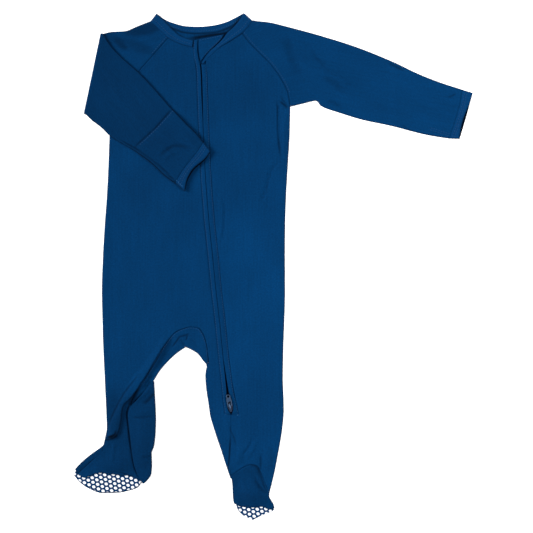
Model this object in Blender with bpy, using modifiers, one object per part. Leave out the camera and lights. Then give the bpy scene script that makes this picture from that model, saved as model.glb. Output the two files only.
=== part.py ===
"""Baby's footed zip-front onesie in plain jersey, laid flat on its back.

Metres in the scene, millimetres in the tables. +Z is up, +Y points to the garment's head and
+X to the garment's left. The garment rests on z = 0. Its right sleeve is folded back over the
chest, its left sleeve lies out, and its right leg is twisted so that the foot points sideways.

Every cloth piece is a loft: a short table gives its sections, a smooth surface runs through
them, and Solidify gives the surface its wall. Pieces lie on each other in layers.
"""

import math
from collections import namedtuple

import bmesh
import bpy
import numpy as np

MM = 0.001

# Cloth and layers, in mm
WALL = 1.2            # one layer of jersey
SEAM = 0.3            # clearance at seams and between layers
LAYER = WALL + SEAM   # rise from one layer to the next
LOOSE = 0.5           # more room under the turned leg, whose layers don't press together
FRONT_TOP = WALL + LAYER
BAND = 1.6            # neck binding, folded double
TAPE = 1.0            # zip tape
CUFF_WALL = 1.4
CELL = 14.0           # length of a mesh cell along a piece

# Edges that turn down around the back, in mm
EDGE_ROUND = 2.0
EDGE_STEPS = (0.0, 0.3, 1.0)
EDGE_FOOT = 0.7       # height at which a turned edge ends
BACK_INSET = 2.7      # how far the back stays inside a turned edge

# Zip, in mm
FACING_RIGHT = 6.0    # width of the stitched facing on each side of the zip
FACING_LEFT = 7.1
FACING_RISE = TAPE + SEAM
SLIT = 0.35           # half the slit between the facings
ZIP_TOP, GUARD_END, ZIP_END = 283.0, 253.0, -184.0
ZIP_TILT = math.radians(9.0)
SLIDER_PLACE = (-53.8, -175.6)
SLIDER_OUTLINE = ((-2.7, 6.0), (-3.6, 4.4), (-3.6, -1.5), (-2.2, -6.0),
                  (2.2, -6.0), (3.6, -1.5), (3.6, 4.4), (2.7, 6.0))
SLIDER_PLATE = 1.4
CROWN_HALF, CROWN_WIDTH, CROWN_CLEAR, CROWN_BAR = 2.8, 1.4, 1.8, 0.8
PULL_AXIS_ALONG, PULL_AXIS_UP = 1.2, 2.3
PULL_LENGTH, PULL_WIDTH, PULL_THICK = 14.0, 5.0, 1.0
PULL_WINDOW, PULL_WINDOW_WIDTH, PULL_HOLE = 4.7, 2.2, 1.9

# Centre of the zip: height y, place x
ZIP_PATH = ((290, -93.2), (270, -94.0), (260, -92.5), (250, -90.2), (237, -89.2), (220, -88.8),
            (145, -86.2), (104, -83.8), (58, -80.2), (14, -75.5), (-30, -71.2), (-73, -66.2),
            (-117, -62.0), (-136, -59.4), (-160, -56.3), (-183, -52.5), (-213, -52.5),
            (-232, -53.4), (-262, -54.8))

# How far each facing's inner and outer edge stands from the zip's centre: y, inner, right, left
FACING_PATH = ((290, SLIT, FACING_RIGHT, FACING_LEFT), (-125, SLIT, FACING_RIGHT, FACING_LEFT),
               (-150, 1.0, 6.6, 7.2), (-160, 2.8, 7.0, 7.6), (-165, 4.4, 7.4, 8.2),
               (-176, 4.4, 7.6, 8.8), (-182.2, 4.2, 7.8, 9.2), (-184, SLIT, 7.8, 9.2))

# Body sections from the neck to the crotch: right x, y; y at the zip; left x, y; edge turned
Body = namedtuple("Body", "right_x right_y zip_y left_x left_y turned")
BODY = tuple(Body(*row) for row in (
    (-139.5, 277.0, 254, -30.0, 281.5, 0),
    (-150.0, 265.0, 243, -19.5, 270.5, 0),
    (-163.8, 249.4, 229, -7.5, 258.8, 0),
    (-175.0, 235.6, 214, 3.0, 246.2, 0),
    (-186.0, 221.0, 199, 12.5, 231.5, 0),
    (-196.0, 207.0, 186, 19.0, 217.0, 0),
    (-203.8, 195.5, 174, 21.8, 200.0, 0),
    (-204.6, 181.0, 163, 21.5, 186.0, 1),
    (-205.0, 160.6, 149, 21.0, 165.0, 1),
    (-206.2, 127.0, 123, 18.8, 128.0, 1),
    (-207.5, 89.0, 89, 16.6, 89.0, 1),
    (-210.0, 52.0, 52, 15.0, 52.0, 1),
    (-212.5, 14.0, 14, 13.9, 14.0, 1),
    (-213.7, -30.0, -30, 13.8, -30.0, 1),
    (-213.0, -75.0, -75, 13.4, -75.0, 1)))
NECK_CORNER_RIGHT, NECK_CORNER_LEFT = (-131.0, 286.5), (-38.2, 292.2)
NECK_RIGHT = (NECK_CORNER_RIGHT, (-122.0, 282.0), (-112.0, 278.0), (-99.9, 275.0))
NECK_LEFT = ((-83.9, 259.4), (-76.5, 266.4), (-66.5, 275.0), (-56.3, 280.6), (-48.0, 285.8),
             NECK_CORNER_LEFT)
NECK_BACK = ((-142.0, 304.0), (-135.0, 300.9), (-123.0, 296.8), (-108.5, 293.4), (-93.0, 292.2),
             (-76.0, 293.0), (-60.0, 297.4), (-48.0, 302.8), (-42.0, 305.9))
RAGLAN_RIGHT = (NECK_CORNER_RIGHT,) + tuple((row.right_x, row.right_y) for row in BODY[:7])
RAGLAN_LEFT = (NECK_CORNER_LEFT,) + tuple((row.left_x, row.left_y) for row in BODY[:7])

# Right leg from the crotch's top: outer edge x, y; gusset seam x, y; crotch edge x, y
CROTCH_RIGHT = ((-213.0, -75.0, -104.0, -75.0, -109.0, -100.2),
                (-212.7, -86.0, -119.5, -80.6, -121.3, -106.9),
                (-212.2, -98.0, -132.5, -94.4, -131.3, -116.2),
                (-211.2, -118.0, -147.5, -118.1, -142.8, -130.6),
                (-210.0, -140.0, -159.4, -138.1, -149.4, -142.5),
                (-209.5, -149.0, -165.5, -146.9, -156.3, -151.2),
                (-208.9, -160.0, -171.6, -157.6, -165.0, -160.0),
                (-208.3, -172.0, -176.9, -170.6, -175.3, -171.8))
# Lower right leg, under its turned back: outer x, y; inner x, y
SHIN_RIGHT = ((-207.6, -187.0, -175.5, -185.0), (-207.6, -202.0, -174.5, -201.0),
              (-209.6, -214.0, -173.5, -216.0), (-211.6, -223.0, -172.0, -229.0),
              (-213.8, -230.8, -170.5, -240.0), (-221.5, -238.0, -168.5, -249.0),
               (-229.5, -245.6, -166.5, -257.0), (-237.5, -252.8, -165.2, -264.0))
SHIN_RIGHT_TURNED = (1, 1, 1, 0.5, 0, 0, 0, 0)
SOLE_SEAM_RIGHT = ((-245.0, -259.8), (-236.0, -264.5), (-226.0, -260.5), (-212.5, -256.9),
                   (-198.8, -256.1), (-178.8, -261.0), (-164.2, -269.0))

# Strip of the left leg beside the zip: y at the zip; gusset seam x, y; crotch edge x, y
CROTCH_LEFT = ((-75, -104.0, -75.0, -109.0, -100.2), (-78, -95.6, -75.8, -102.5, -103.1),
               (-87, -87.5, -84.4, -95.0, -108.8), (-103, -82.5, -103.1, -87.5, -118.1),
               (-120, -81.2, -119.4, -83.4, -124.0))
# Inner edge of the left leg below the gusset: y at the front seam; x, y
SHIN_STRIP = ((-129, -83.8, -128.0), (-138, -84.9, -137.0), (-156, -83.4, -156.0),
              (-170, -81.2, -170.0), (-181, -79.7, -181.0), (-184.2, -79.2, -184.4),
              (-186.4, -78.9, -186.4), (-205, -73.6, -204.5), (-218, -69.2, -218.0),
              (-230, -65.0, -230.0), (-242, -61.2, -242.0), (-254, -57.3, -254.5))

# Left leg below the crotch: y at the front seam; outer x, y
SHIN_LEFT = ((-100, 12.9, -100), (-140, 12.5, -140), (-172, 13.6, -172), (-181, 13.7, -181),
             (-184.2, 13.5, -184.4), (-186.4, 13.4, -186.6), (-204, 11.6, -204.4),
             (-220, 9.1, -220.6), (-236, 6.3, -235.6))
ANKLE_LEFT = ((-54.0, -250.0), (-40.0, -244.0), (-25.0, -240.0), (-9.0, -247.0), (2.4, -256.0))
VAMP_SEAM_LEFT = ((-52.6, -262.6), (-41.6, -254.9), (-27.0, -248.3), (-19.0, -250.4),
                  (-14.1, -260.4), (-8.8, -273.1), (-4.6, -284.6))

# Back panel of the turned lower right leg: left x, y; right x, y
LEG_BACK_RIGHT = ((-152.6, -143.6, -148.6, -143.4), (-161.5, -156.5, -147.6, -160.0),
                  (-171.0, -167.5, -146.9, -172.0), (-179.0, -176.5, -146.4, -183.0),
                  (-181.4, -186.0, -146.2, -194.0), (-180.4, -197.0, -146.6, -206.0),
                  (-177.9, -218.0, -148.4, -224.0), (-176.0, -233.0, -151.6, -234.2),
                  (-174.3, -246.5, -151.2, -248.0), (-170.6, -257.0, -152.0, -259.5),
                  (-166.5, -266.0, -157.4, -268.0), (-162.8, -271.4, -161.0, -271.6))

# Under parts of the legs: outer x, y; inner x, y
UNDER_RIGHT = ((-211.8, -108.0, -122.5, -107.0), (-211.2, -119.0, -132.5, -116.4),
               (-210.6, -131.0, -144.0, -131.0), (-210.0, -142.0, -150.2, -142.8),
               (-208.3, -172.0, -146.8, -172.0), (-207.6, -195.0, -146.4, -195.0),
               (-209.0, -211.5, -147.7, -217.0), (-210.6, -221.0, -149.2, -225.5),
               (-214.0, -228.0, -152.2, -233.0))
UNDER_LEFT = ((-100.0, -104.4, 12.8, -104.0), (-92.0, -110.0, 12.8, -110.0),
              (-82.8, -118.4, 12.7, -119.0), (-80.6, -127.0, 12.6, -127.0),
              (-83.2, -156.0, 12.8, -156.0), (-79.4, -183.0, 13.5, -183.0),
              (-73.4, -204.5, 11.6, -204.5), (-64.6, -230.0, 7.4, -230.0),
              (-54.8, -250.0, 3.6, -250.0), (-53.2, -264.0, 0.0, -265.5))
CROTCH_TOP_BACK = (-109.0, -97.0)

# Feet, in sections: one edge x, y; other edge x, y
VAMP_RIGHT = ((-212.4, -224.0, -215.2, -230.6), (-217.0, -227.2, -222.0, -237.3),
              (-228.0, -235.0, -229.4, -245.0), (-240.5, -245.5, -237.4, -252.2),
              (-248.0, -253.6, -245.0, -259.0))
SOLE_RIGHT = ((-249.2, -261.6, -247.6, -256.6), (-241.6, -270.5, -236.5, -248.2),
              (-230.5, -278.2, -227.0, -240.8), (-213.5, -284.0, -212.0, -233.6),
              (-194.0, -283.4, -194.0, -236.6), (-179.0, -280.4, -178.0, -239.0),
              (-169.4, -276.8, -168.6, -240.0), (-162.6, -267.4, -161.6, -240.6),
              (-156.0, -260.0, -155.6, -240.8))
VAMP_LEFT = (VAMP_SEAM_LEFT,
             ((-51.0, -273.6), (-27.0, -266.5), (-4.4, -288.4)),
             ((-50.6, -284.5), (-26.0, -281.5), (-2.2, -292.6)),
             ((-50.0, -291.8), (-26.0, -291.4), (0.8, -297.8)),
             ((-48.8, -296.6), (-41.0, -300.4), (-27.5, -301.8), (-14.0, -300.8), (-4.0, -304.4),
              (2.0, -302.2)))
SOLE_LEFT = (((-49.6, -266.4), (-4.4, -268.4)), ((-48.2, -278.0), (-7.2, -281.0)),
             ((-47.0, -288.0), (-6.4, -289.6)), ((-46.4, -296.0), (-3.6, -299.4)),
             ((-45.4, -301.6), (1.6, -304.0)),
             ((-42.6, -306.6), (-24.0, -309.5), (-4.8, -308.2)),
             ((-36.5, -312.4), (-25.0, -314.2), (-14.6, -311.8)),
             ((-29.4, -315.8), (-26.6, -316.8), (-23.2, -315.4)))

# Neck binding, in sections: outer x, y; inner x, y
NECKBAND_RIGHT = ((-152.2, 306.6, -144.8, 316.2), (-146.4, 301.8, -137.6, 309.6),
                  (-140.0, 295.8, -131.4, 303.2), (-131.2, 287.6, -125.0, 296.6),
                  (-122.4, 282.6, -117.0, 289.8), (-112.4, 278.6, -108.6, 286.0),
                  (-101.8, 275.8, -100.6, 283.6))
NECKBAND_BACK = ((-146.0, 308.0, -144.6, 316.0), (-135.0, 301.2, -134.4, 307.6),
                 (-123.0, 297.0, -122.4, 302.6), (-108.5, 293.6, -107.5, 299.4),
                 (-93.0, 292.4, -91.5, 298.8), (-76.0, 293.2, -75.0, 300.0),
                 (-60.0, 297.6, -58.5, 304.4), (-47.0, 303.6, -46.0, 311.0),
                 (-38.0, 309.0, -37.4, 317.0))
NECKBAND_LEFT = ((-37.2, 316.8, -26.8, 307.2), (-42.0, 308.8, -32.0, 300.0),
                 (-49.4, 300.0, -39.0, 293.0), (-57.5, 292.4, -48.4, 286.6),
                 (-63.0, 285.0, -56.6, 281.4), (-73.2, 274.8, -69.2, 273.2),
                 (-80.0, 268.6, -77.4, 266.4), (-86.0, 260.8, -84.2, 259.6),
                 (-89.2, 255.2, -88.4, 254.6))
GUARD = ((-93.2, 284.6, -60.6, 290.8), (-93.6, 278.0, -65.0, 284.2), (-93.2, 269.0, -75.2, 274.2),
         (-92.2, 262.0, -82.8, 266.6), (-91.2, 257.4, -88.0, 259.6))

# Right sleeve up to its fold: shoulder edge x, y; underarm edge x, y
SHOULDER_RIGHT = (-151.9, 305.9)
UPPER_ARM = ((-168.8, 300.0, -211.0, 195.2), (-186.3, 293.8, -219.5, 194.4),
             (-201.0, 292.2, -227.0, 192.8))
ARM_FOLD = (-212.8, 289.2, -233.2, 191.2)
ARM_FOLD_TURNS = (45.0, 90.0, 135.0)
# Right sleeve from its fold to the cuff, lying over the chest
FOREARM = ((-202.5, 275.8, -226.3, 182.4), (-190.0, 262.5, -215.0, 173.8),
           (-166.8, 241.9, -202.5, 161.9), (-146.2, 220.0, -186.2, 151.9),
           (-125.0, 195.6, -171.2, 143.1), (-108.8, 178.8, -151.2, 128.8),
           (-95.0, 165.0, -133.8, 112.5))
CUFF_SEAM_RIGHT = ((-86.2, 154.4), (-93.8, 142.5), (-106.9, 126.1), (-114.1, 116.0),
                   (-121.2, 103.4))
MOUTH_RIGHT = ((-77.5, 143.8), (-83.2, 134.8), (-100.0, 118.9), (-106.9, 106.0), (-110.0, 93.2))
MITTEN_EDGE_RIGHT = ((-125.6, 196.4), (-147.0, 173.0), (-169.0, 152.6), (-174.0, 145.4))

# Left sleeve: shoulder edge x, y; underarm edge x, y
SHOULDER_LEFT = (-26.2, 306.8)
SLEEVE_LEFT = ((18.8, 299.4, 53.8, 207.2), (33.8, 295.6, 60.0, 200.8), (65.0, 286.4, 83.8, 191.9),
               (103.8, 273.8, 113.8, 182.5), (143.8, 257.5, 143.8, 175.6),
               (183.8, 239.4, 173.8, 168.1), (208.8, 230.0, 196.2, 162.6))
ARMPIT_LEFT = ((-6.0, 305.0), (10.0, 280.0), (27.0, 238.0), (37.5, 203.6))
CUFF_SEAM_LEFT = ((237.5, 221.1), (235.0, 205.0), (229.0, 183.0), (221.2, 159.8))
MOUTH_LEFT = ((249.4, 215.6), (246.5, 200.0), (240.5, 180.0), (233.6, 159.4))
MITTEN_EDGE_LEFT = ((168.0, 245.0), (165.6, 206.0), (159.6, 173.0))

# Crown of the laid cloth: centre x, half width, height; full from y to y, gone at y and y
Crown = namedtuple("Crown", "x half height gone_above full_above full_below gone_below")
CROWNS = (Crown(-96.0, 106.0, 1.8, 272, 215, -60, -140),
          Crown(-35.0, 46.0, 1.8, -60, -140, -230, -262),
          Crown(-182.0, 30.0, 1.0, -60, -110, -150, -200))
# Sleeve and foot crowns: centre x, y; half length, half width; turned from X; height
Dome = namedtuple("Dome", "x y long wide turn height")
DOMES = (Dome(130.0, 232.0, 130.0, 42.0, -17.0, 1.4),
         Dome(-27.0, -283.0, 27.0, 20.0, 0.0, 5.0),
         Dome(-196.0, -246.0, 48.0, 20.0, 22.0, 3.0))
FOREARM_DOME = Dome(-165.0, 188.0, 88.0, 34.0, -45.0, 1.2)
TURNED_LEG_DOME = Dome(-163.0, -212.0, 52.0, 15.0, -88.0, 2.2)

# Folds: height, half width on the right and on the left of its line, and the line's points
Fold = namedtuple("Fold", "height right left line")
FOLDS = (
    Fold(4.2, 15.0, 7.5, ((-137.0, -93.0), (-160.6, -131.4), (-177.0, -152.7), (-187.0, -165.4),
                          (-192.0, -173.0), (-196.4, -187.0), (-199.0, -196.0), (-209.0, -212.0))),
    Fold(1.4, 8.0, 10.0, ((14.0, 186.0), (13.5, 160.0), (10.0, 132.0))),
    Fold(1.3, 7.0, 7.0, ((-38.0, -222.0), (-42.0, -236.0), (-46.0, -250.0))),
    Fold(1.4, 7.0, 8.0, ((-8.0, -222.0), (-6.0, -240.0), (-4.0, -256.0))))

NAVY = ("navy_jersey", (0.004, 0.045, 0.16), 0.9, 0.0)
NAVY_INSIDE = ("navy_jersey_inside", (0.003, 0.032, 0.11), 0.95, 0.0)
NAVY_RIB = ("navy_binding", (0.005, 0.05, 0.17), 0.9, 0.0)
NAVY_TAPE = ("navy_zip_tape", (0.004, 0.02, 0.06), 0.8, 0.0)
SOLE_PRINT = ("sole_jersey", (0.06, 0.09, 0.2), 0.9, 0.0)
SLIDER_FINISH = ("slate_blue_metal", (0.09, 0.13, 0.22), 0.45, 0.6)


# ---- Curves and sections -------------------------------------------------------------------

def smooth(rows, per_span):
    """Rows of points on smooth curves through the given rows, which don't overshoot them."""
    rows = np.asarray(rows, float)
    gaps = np.linalg.norm(np.diff(rows[..., :2], axis=0), axis=2).mean(axis=1)
    slopes = np.diff(rows, axis=0) / gaps[:, None, None]
    tangents = np.concatenate((slopes[:1], slopes[:-1] * 0, slopes[-1:]))
    same_way = slopes[:-1] * slopes[1:] > 0
    low, high = np.where(same_way, slopes[:-1], 1), np.where(same_way, slopes[1:], 1)
    early = gaps[:-1, None, None] + 2 * gaps[1:, None, None]
    late = 2 * gaps[:-1, None, None] + gaps[1:, None, None]
    tangents[1:-1] = np.where(same_way, (early + late) / (early / low + late / high), 0)
    out = [rows[:1]]
    for i, cells in enumerate(per_span(gap) for gap in gaps):
        t = np.linspace(0, 1, cells + 1)[1:, None, None]
        pull_in = tangents[i] * gaps[i] * t * (1 - t) ** 2
        pull_out = tangents[i + 1] * gaps[i] * t * t * (1 - t)
        ease = t * t * (3 - 2 * t)
        out.append(rows[i] * (1 - ease) + rows[i + 1] * ease + pull_in - pull_out)
    return np.concatenate(out)


def by_length(gap):
    """Cells in a span, about CELL long."""
    return max(1, round(gap / CELL))


def along(points, distances_of):
    """Points of a section at chosen distances along the smooth curve through its points."""
    fine = smooth(np.asarray(points, float)[:, None, :], lambda gap: 12)[:, 0]
    run = np.concatenate(([0.0], np.cumsum(np.linalg.norm(np.diff(fine, axis=0), axis=1))))
    at = distances_of(run[-1])
    place = np.column_stack([np.interp(at, run, fine[:, axis]) for axis in (0, 1)])
    return np.column_stack((place, at, run[-1] - at))


def stops(cells, start=False, end=False, trim=(SEAM / 2, SEAM / 2)):
    """Distances along a section: close together where its start or end edge turns down."""
    def distances(length):
        reach = min(EDGE_ROUND, length / 5)
        low = [trim[0] + reach * step for step in (EDGE_STEPS if start else (0.0,))]
        high = [length - trim[1] - reach * step for step in (EDGE_STEPS if end else (0.0,))]
        inner = np.linspace(low[-1], high[-1], cells + 1)[1:-1]
        return np.array([*low, *inner, *reversed(high)])
    return distances


def loft(sections, distances_of, turned=None, per_span=by_length):
    """Grid through sections: x, y, distances to both edges, how far each edge is turned."""
    rows = [along(points, distances_of) for points in sections]
    turned = [(0, 0)] * len(rows) if turned is None else turned
    rows = [np.column_stack((row, np.tile(turn, (len(row), 1)))) for row, turn in zip(rows, turned)]
    return smooth(rows, per_span)


def pull_back(grid, start=SEAM / 2, end=SEAM / 2):
    """The grid with its first and last row moved in, for the seams there."""
    grid = grid.copy()
    for edge, inner, gap in ((0, 1, start), (-1, -2, end)):
        step = grid[inner, :, :2] - grid[edge, :, :2]
        length = np.maximum(np.linalg.norm(step, axis=1, keepdims=True), 2 * gap)
        grid[edge, :, :2] += step * gap / length
    return grid


def pairs(table):
    """Sections of two points from rows of four numbers."""
    return [((row[0], row[1]), (row[2], row[3])) for row in table]


def zip_x(y):
    """Place of the zip's centre at a height."""
    path = np.array(ZIP_PATH)[::-1]
    return np.interp(y, path[:, 0], path[:, 1])


def facing(y, column):
    """How far a facing's edge stands from the zip's centre: 1 inner, 2 right, 3 left."""
    path = np.array(FACING_PATH)[::-1]
    return np.interp(y, path[:, 0], path[:, column])


def zip_edge(y, side):
    """Point of a front's edge beside the zip, or on the seam below the zip's end."""
    if y < ZIP_END - 1:
        return (zip_x(y), y)
    return (zip_x(y) - facing(y, 2), y) if side == "right" else (zip_x(y) + facing(y, 3), y)


# ---- Heights -------------------------------------------------------------------------------

def ramp(value, low, high):
    """0 at low, 1 at high, smooth between."""
    t = np.clip((value - low) / (high - low), 0, 1)
    return t * t * (3 - 2 * t)


def hump(distance):
    """1 at the middle, 0 from 1 outwards, smooth."""
    return np.cos(np.clip(np.abs(distance), 0, 1) * math.pi / 2) ** 2


def dome_lift(x, y, dome):
    turn = math.radians(dome.turn)
    along_dome = (x - dome.x) * math.cos(turn) + (y - dome.y) * math.sin(turn)
    across = (y - dome.y) * math.cos(turn) - (x - dome.x) * math.sin(turn)
    return dome.height * hump(np.hypot(along_dome / dome.long, across / dome.wide))


def crown_lift(x, y):
    """Soft crown of the laid cloth."""
    total = np.zeros(np.shape(x))
    for crown in CROWNS:
        length = ramp(y, crown.gone_above, crown.full_above) * ramp(y, crown.gone_below,
                                                                    crown.full_below)
        total = np.maximum(total, crown.height * hump((x - crown.x) / crown.half) * length)
    return total


def fold_lift(x, y, fold):
    """Height of a soft ridge that follows a line and fades at its ends."""
    line = np.array(fold.line)
    lengths = np.linalg.norm(np.diff(line, axis=0), axis=1)
    starts = np.concatenate(([0.0], np.cumsum(lengths)))
    nearest, lift = np.full(np.shape(x), np.inf), np.zeros(np.shape(x))
    for a, b, start, length in zip(line, line[1:], starts, lengths):
        dx, dy = (b - a) / length
        t = np.clip((x - a[0]) * dx + (y - a[1]) * dy, 0, length)
        side = (x - a[0]) * dy - (y - a[1]) * dx
        distance = np.hypot(x - a[0] - t * dx, y - a[1] - t * dy)
        width = np.where(side > 0, fold.right, fold.left)
        fade = ramp((start + t) / starts[-1], 0, 0.35) * ramp((start + t) / starts[-1], 1, 0.85)
        closer = distance < nearest
        nearest = np.where(closer, distance, nearest)
        lift = np.where(closer, fold.height * hump(distance / width) * fade, lift)
    return lift


def lift(x, y):
    """Height of the laid front above its flat layer."""
    total = crown_lift(x, y)
    for dome in DOMES:
        total = total + dome_lift(x, y, dome)
    for fold in FOLDS:
        total = total + fold_lift(x, y, fold)
    return total


def bed(x, y):
    """Surface that the folded sleeve lies on: the front, the zip facings, or nothing."""
    facings = (FACING_RISE + SEAM) * ramp(x, -130, -100)
    droop = 2.2 * ramp(x, -208, -224) * ramp(y, 190, 172)
    return FRONT_TOP + SEAM + crown_lift(x, y) + facings - droop


def turned_down(grid, top):
    """Heights of a panel whose turned edges curve down towards the surface."""
    start, end, start_turned, end_turned = (grid[..., k] for k in (2, 3, 4, 5))
    z = top
    for distance, turned in ((start, start_turned), (end, end_turned)):
        q = np.clip((distance - SEAM / 2) / EDGE_ROUND, 0, 1)
        drop = 1 - np.sqrt(np.clip(1 - (1 - q) ** 2, 0, 1))
        z = z - np.clip(turned, 0, 1) * drop * (top - EDGE_FOOT)
    return z


# ---- Building ------------------------------------------------------------------------------

def material(spec):
    name, colour, roughness, metallic = spec
    made = bpy.data.materials.get(name)
    if made is None:
        made = bpy.data.materials.new(name)
        made.use_nodes = True
        shader = made.node_tree.nodes["Principled BSDF"]
        shader.inputs["Base Color"].default_value = (*colour, 1)
        shader.inputs["Roughness"].default_value = roughness
        shader.inputs["Metallic"].default_value = metallic
    return made


def new_object(name, mesh, spec):
    obj = bpy.data.objects.new(name, mesh)
    mesh.materials.append(material(spec))
    bpy.data.collections["Onesie"].objects.link(obj)
    return obj


def cloth(name, surfaces, wall=WALL, spec=NAVY, ring=False):
    """One cloth piece: its outer surface, as grids of points welded where they meet."""
    points, faces = [], []
    for surface in surfaces:
        rows, columns = surface.shape[:2]
        base = len(points)
        points.extend((surface.reshape(-1, 3) * MM).tolist())
        for r in range(rows - 1):
            for c in range(columns if ring else columns - 1):
                d = (c + 1) % columns
                faces.append([base + r * columns + c, base + (r + 1) * columns + c,
                              base + (r + 1) * columns + d, base + r * columns + d])
    mesh = bpy.data.meshes.new(name)
    mesh.from_pydata(points, [], faces)
    work = bmesh.new()
    work.from_mesh(mesh)
    bmesh.ops.remove_doubles(work, verts=work.verts, dist=1e-6)
    work.to_mesh(mesh)
    work.free()
    mesh.shade_smooth()
    obj = new_object(name, mesh, spec)
    solid = obj.modifiers.new("Wall", "SOLIDIFY")
    solid.thickness = wall * MM
    solid.offset = -1
    return obj


def at_height(grid, z):
    """The grid's places with their heights."""
    return np.dstack((grid[..., 0], grid[..., 1], z + np.zeros(grid.shape[:2])))


def front_panel(grid, rise=0.0):
    """Outer surface of a panel on the front's layer."""
    top = FRONT_TOP + rise + lift(grid[..., 0], grid[..., 1])
    return at_height(grid, turned_down(grid, top))


def tube_rings(grid, bottom, top, normals=None, first_below=False):
    """Flattened rings: one sheet across the section, then the other sheet back."""
    middle, half = (bottom + top) / 2, (top - bottom) / 2
    edge = np.minimum(grid[..., 2], grid[..., 3]) - SEAM / 2
    q = np.clip(edge / EDGE_ROUND, 0, 1)
    reach = half * np.sqrt(np.clip(1 - (1 - q) ** 2, 0, 1))
    if normals is None:
        normals = np.zeros(grid.shape[:2] + (3,))
        normals[..., 2] = -1 if first_below else 1
    centre = at_height(grid, middle)
    first = centre + reach[..., None] * normals
    second = centre - reach[..., None] * normals
    return np.concatenate((first, second[:, -2:0:-1]), axis=1)


# ---- Body ----------------------------------------------------------------------------------

LEG_CELLS, STRIP_CELLS, LEFT_CELLS = 12, 3, 8
BACK_CELLS = 6             # across each half of the back
CROTCH_SHARE = 0.775       # where the crotch's top stands across the right front


def split_stops(length):
    """Distances across the right front, with a point where the leg gap starts below."""
    leg = stops(LEG_CELLS, start=True, trim=(SEAM / 2, 0))(length * CROTCH_SHARE)
    strip = stops(STRIP_CELLS, start=True, trim=(0, SEAM / 2))(length * (1 - CROTCH_SHARE))
    return np.concatenate((leg, strip[1:] + length * CROTCH_SHARE))


def leg_and_gusset(sections, turned, gusset_pairs, across, seam_column):
    """A leg's grid and the strip of gusset beside it, lofted together so that they match."""
    rows = [np.column_stack((along(points, across), np.tile((turn, 0), (len(across(100.0)), 1))))
            for points, turn in zip(sections, turned)]
    ends = [np.zeros((2, 6)) for _ in rows]
    for end, row in zip(ends, rows):
        end[:, :2] = row[seam_column, :2]
    for end, pair in zip(ends, gusset_pairs):
        end[:, :2] = np.reshape(pair, (2, 2))
    together = [np.concatenate(pair) for pair in zip(rows, ends)]
    grid = smooth(together, lambda gap: by_length(gap * 1.5))
    gusset_rows = len(smooth(together[:len(gusset_pairs)], lambda gap: by_length(gap * 1.5)))
    return grid[:, :-2], grid[:gusset_rows, -2:, :2]


def right_leg():
    sections = [((a, b), (c, d)) for a, b, c, d, _, _ in CROTCH_RIGHT] + pairs(SHIN_RIGHT)
    turned = [1] * len(CROTCH_RIGHT) + [*SHIN_RIGHT_TURNED, 0]
    return leg_and_gusset(sections + [SOLE_SEAM_RIGHT], turned, [row[2:] for row in CROTCH_RIGHT],
                          stops(LEG_CELLS, start=True), -1)


def left_strip():
    """Strip of the left leg between the crotch and the zip."""
    table = [row[:3] for row in CROTCH_LEFT] + list(SHIN_STRIP)
    sections = [((x, y), zip_edge(zip_y, "right")) for zip_y, x, y in table]
    turned = [0] * (len(CROTCH_LEFT) - 1) + [0.5] + [1] * len(SHIN_STRIP)
    return leg_and_gusset(sections, turned, [row[1:] for row in CROTCH_LEFT],
                          stops(STRIP_CELLS, start=True), 0)


def front_right():
    """Right front: body, right leg and the strip of left leg beside the zip."""
    sections = [NECK_RIGHT] + [((row.right_x, row.right_y), zip_edge(row.zip_y, "right"))
                               for row in BODY]
    turned = [(0, 0)] + [(row.turned, 0) for row in BODY]
    body = pull_back(loft(sections, split_stops, turned), end=0)
    columns = LEG_CELLS + len(EDGE_STEPS)
    leg, strip = right_leg()[0], left_strip()[0]
    leg[0], strip[0] = body[-1, :columns], body[-1, columns - 1:]
    strip[0, :, 2] -= body[-1, columns - 1, 2]
    strip[0, :, 4] = 0
    parts = (body, pull_back(leg, start=0), pull_back(strip, start=0))
    return cloth("front_right", [front_panel(part) for part in parts])


def front_left():
    """Left front: body and left leg."""
    sections = [NECK_LEFT] + [(zip_edge(row.zip_y, "left"), (row.left_x, row.left_y))
                              for row in BODY]
    sections += [(zip_edge(y, "left"), (x, side_y)) for y, x, side_y in SHIN_LEFT]
    sections += [ANKLE_LEFT, VAMP_SEAM_LEFT]
    turned = [(0, 0)] + [(0, row.turned) for row in BODY] + [(0, 1)] * (len(SHIN_LEFT) + 2)
    turned[-2:] = [(0.5, 1), (1, 1)]
    grid = pull_back(loft(sections, stops(LEFT_CELLS, start=True, end=True), turned))
    return cloth("front_left", [front_panel(grid)])


def gusset():
    """Crotch gusset: an arch between the leg seams and the crotch's edge."""
    right, left = right_leg()[1], left_strip()[1]
    arch = np.concatenate((right[:0:-1], left))
    rows = []
    for seam_point, edge_point in arch:
        width = np.linalg.norm(edge_point - seam_point)
        turned = ramp(edge_point[0], -151, -146)
        edge = SEAM / 2 + min(EDGE_ROUND, width / 3) * np.array(EDGE_STEPS)
        at = np.array([*edge, (edge[-1] + width) / 2, width - SEAM / 2])
        place = edge_point + (seam_point - edge_point) * (at / width)[:, None]
        rows.append(np.column_stack((place, at, width - at, np.full(len(at), turned), 0 * at)))
    return cloth("gusset", [front_panel(pull_back(np.array(rows)))])


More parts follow.
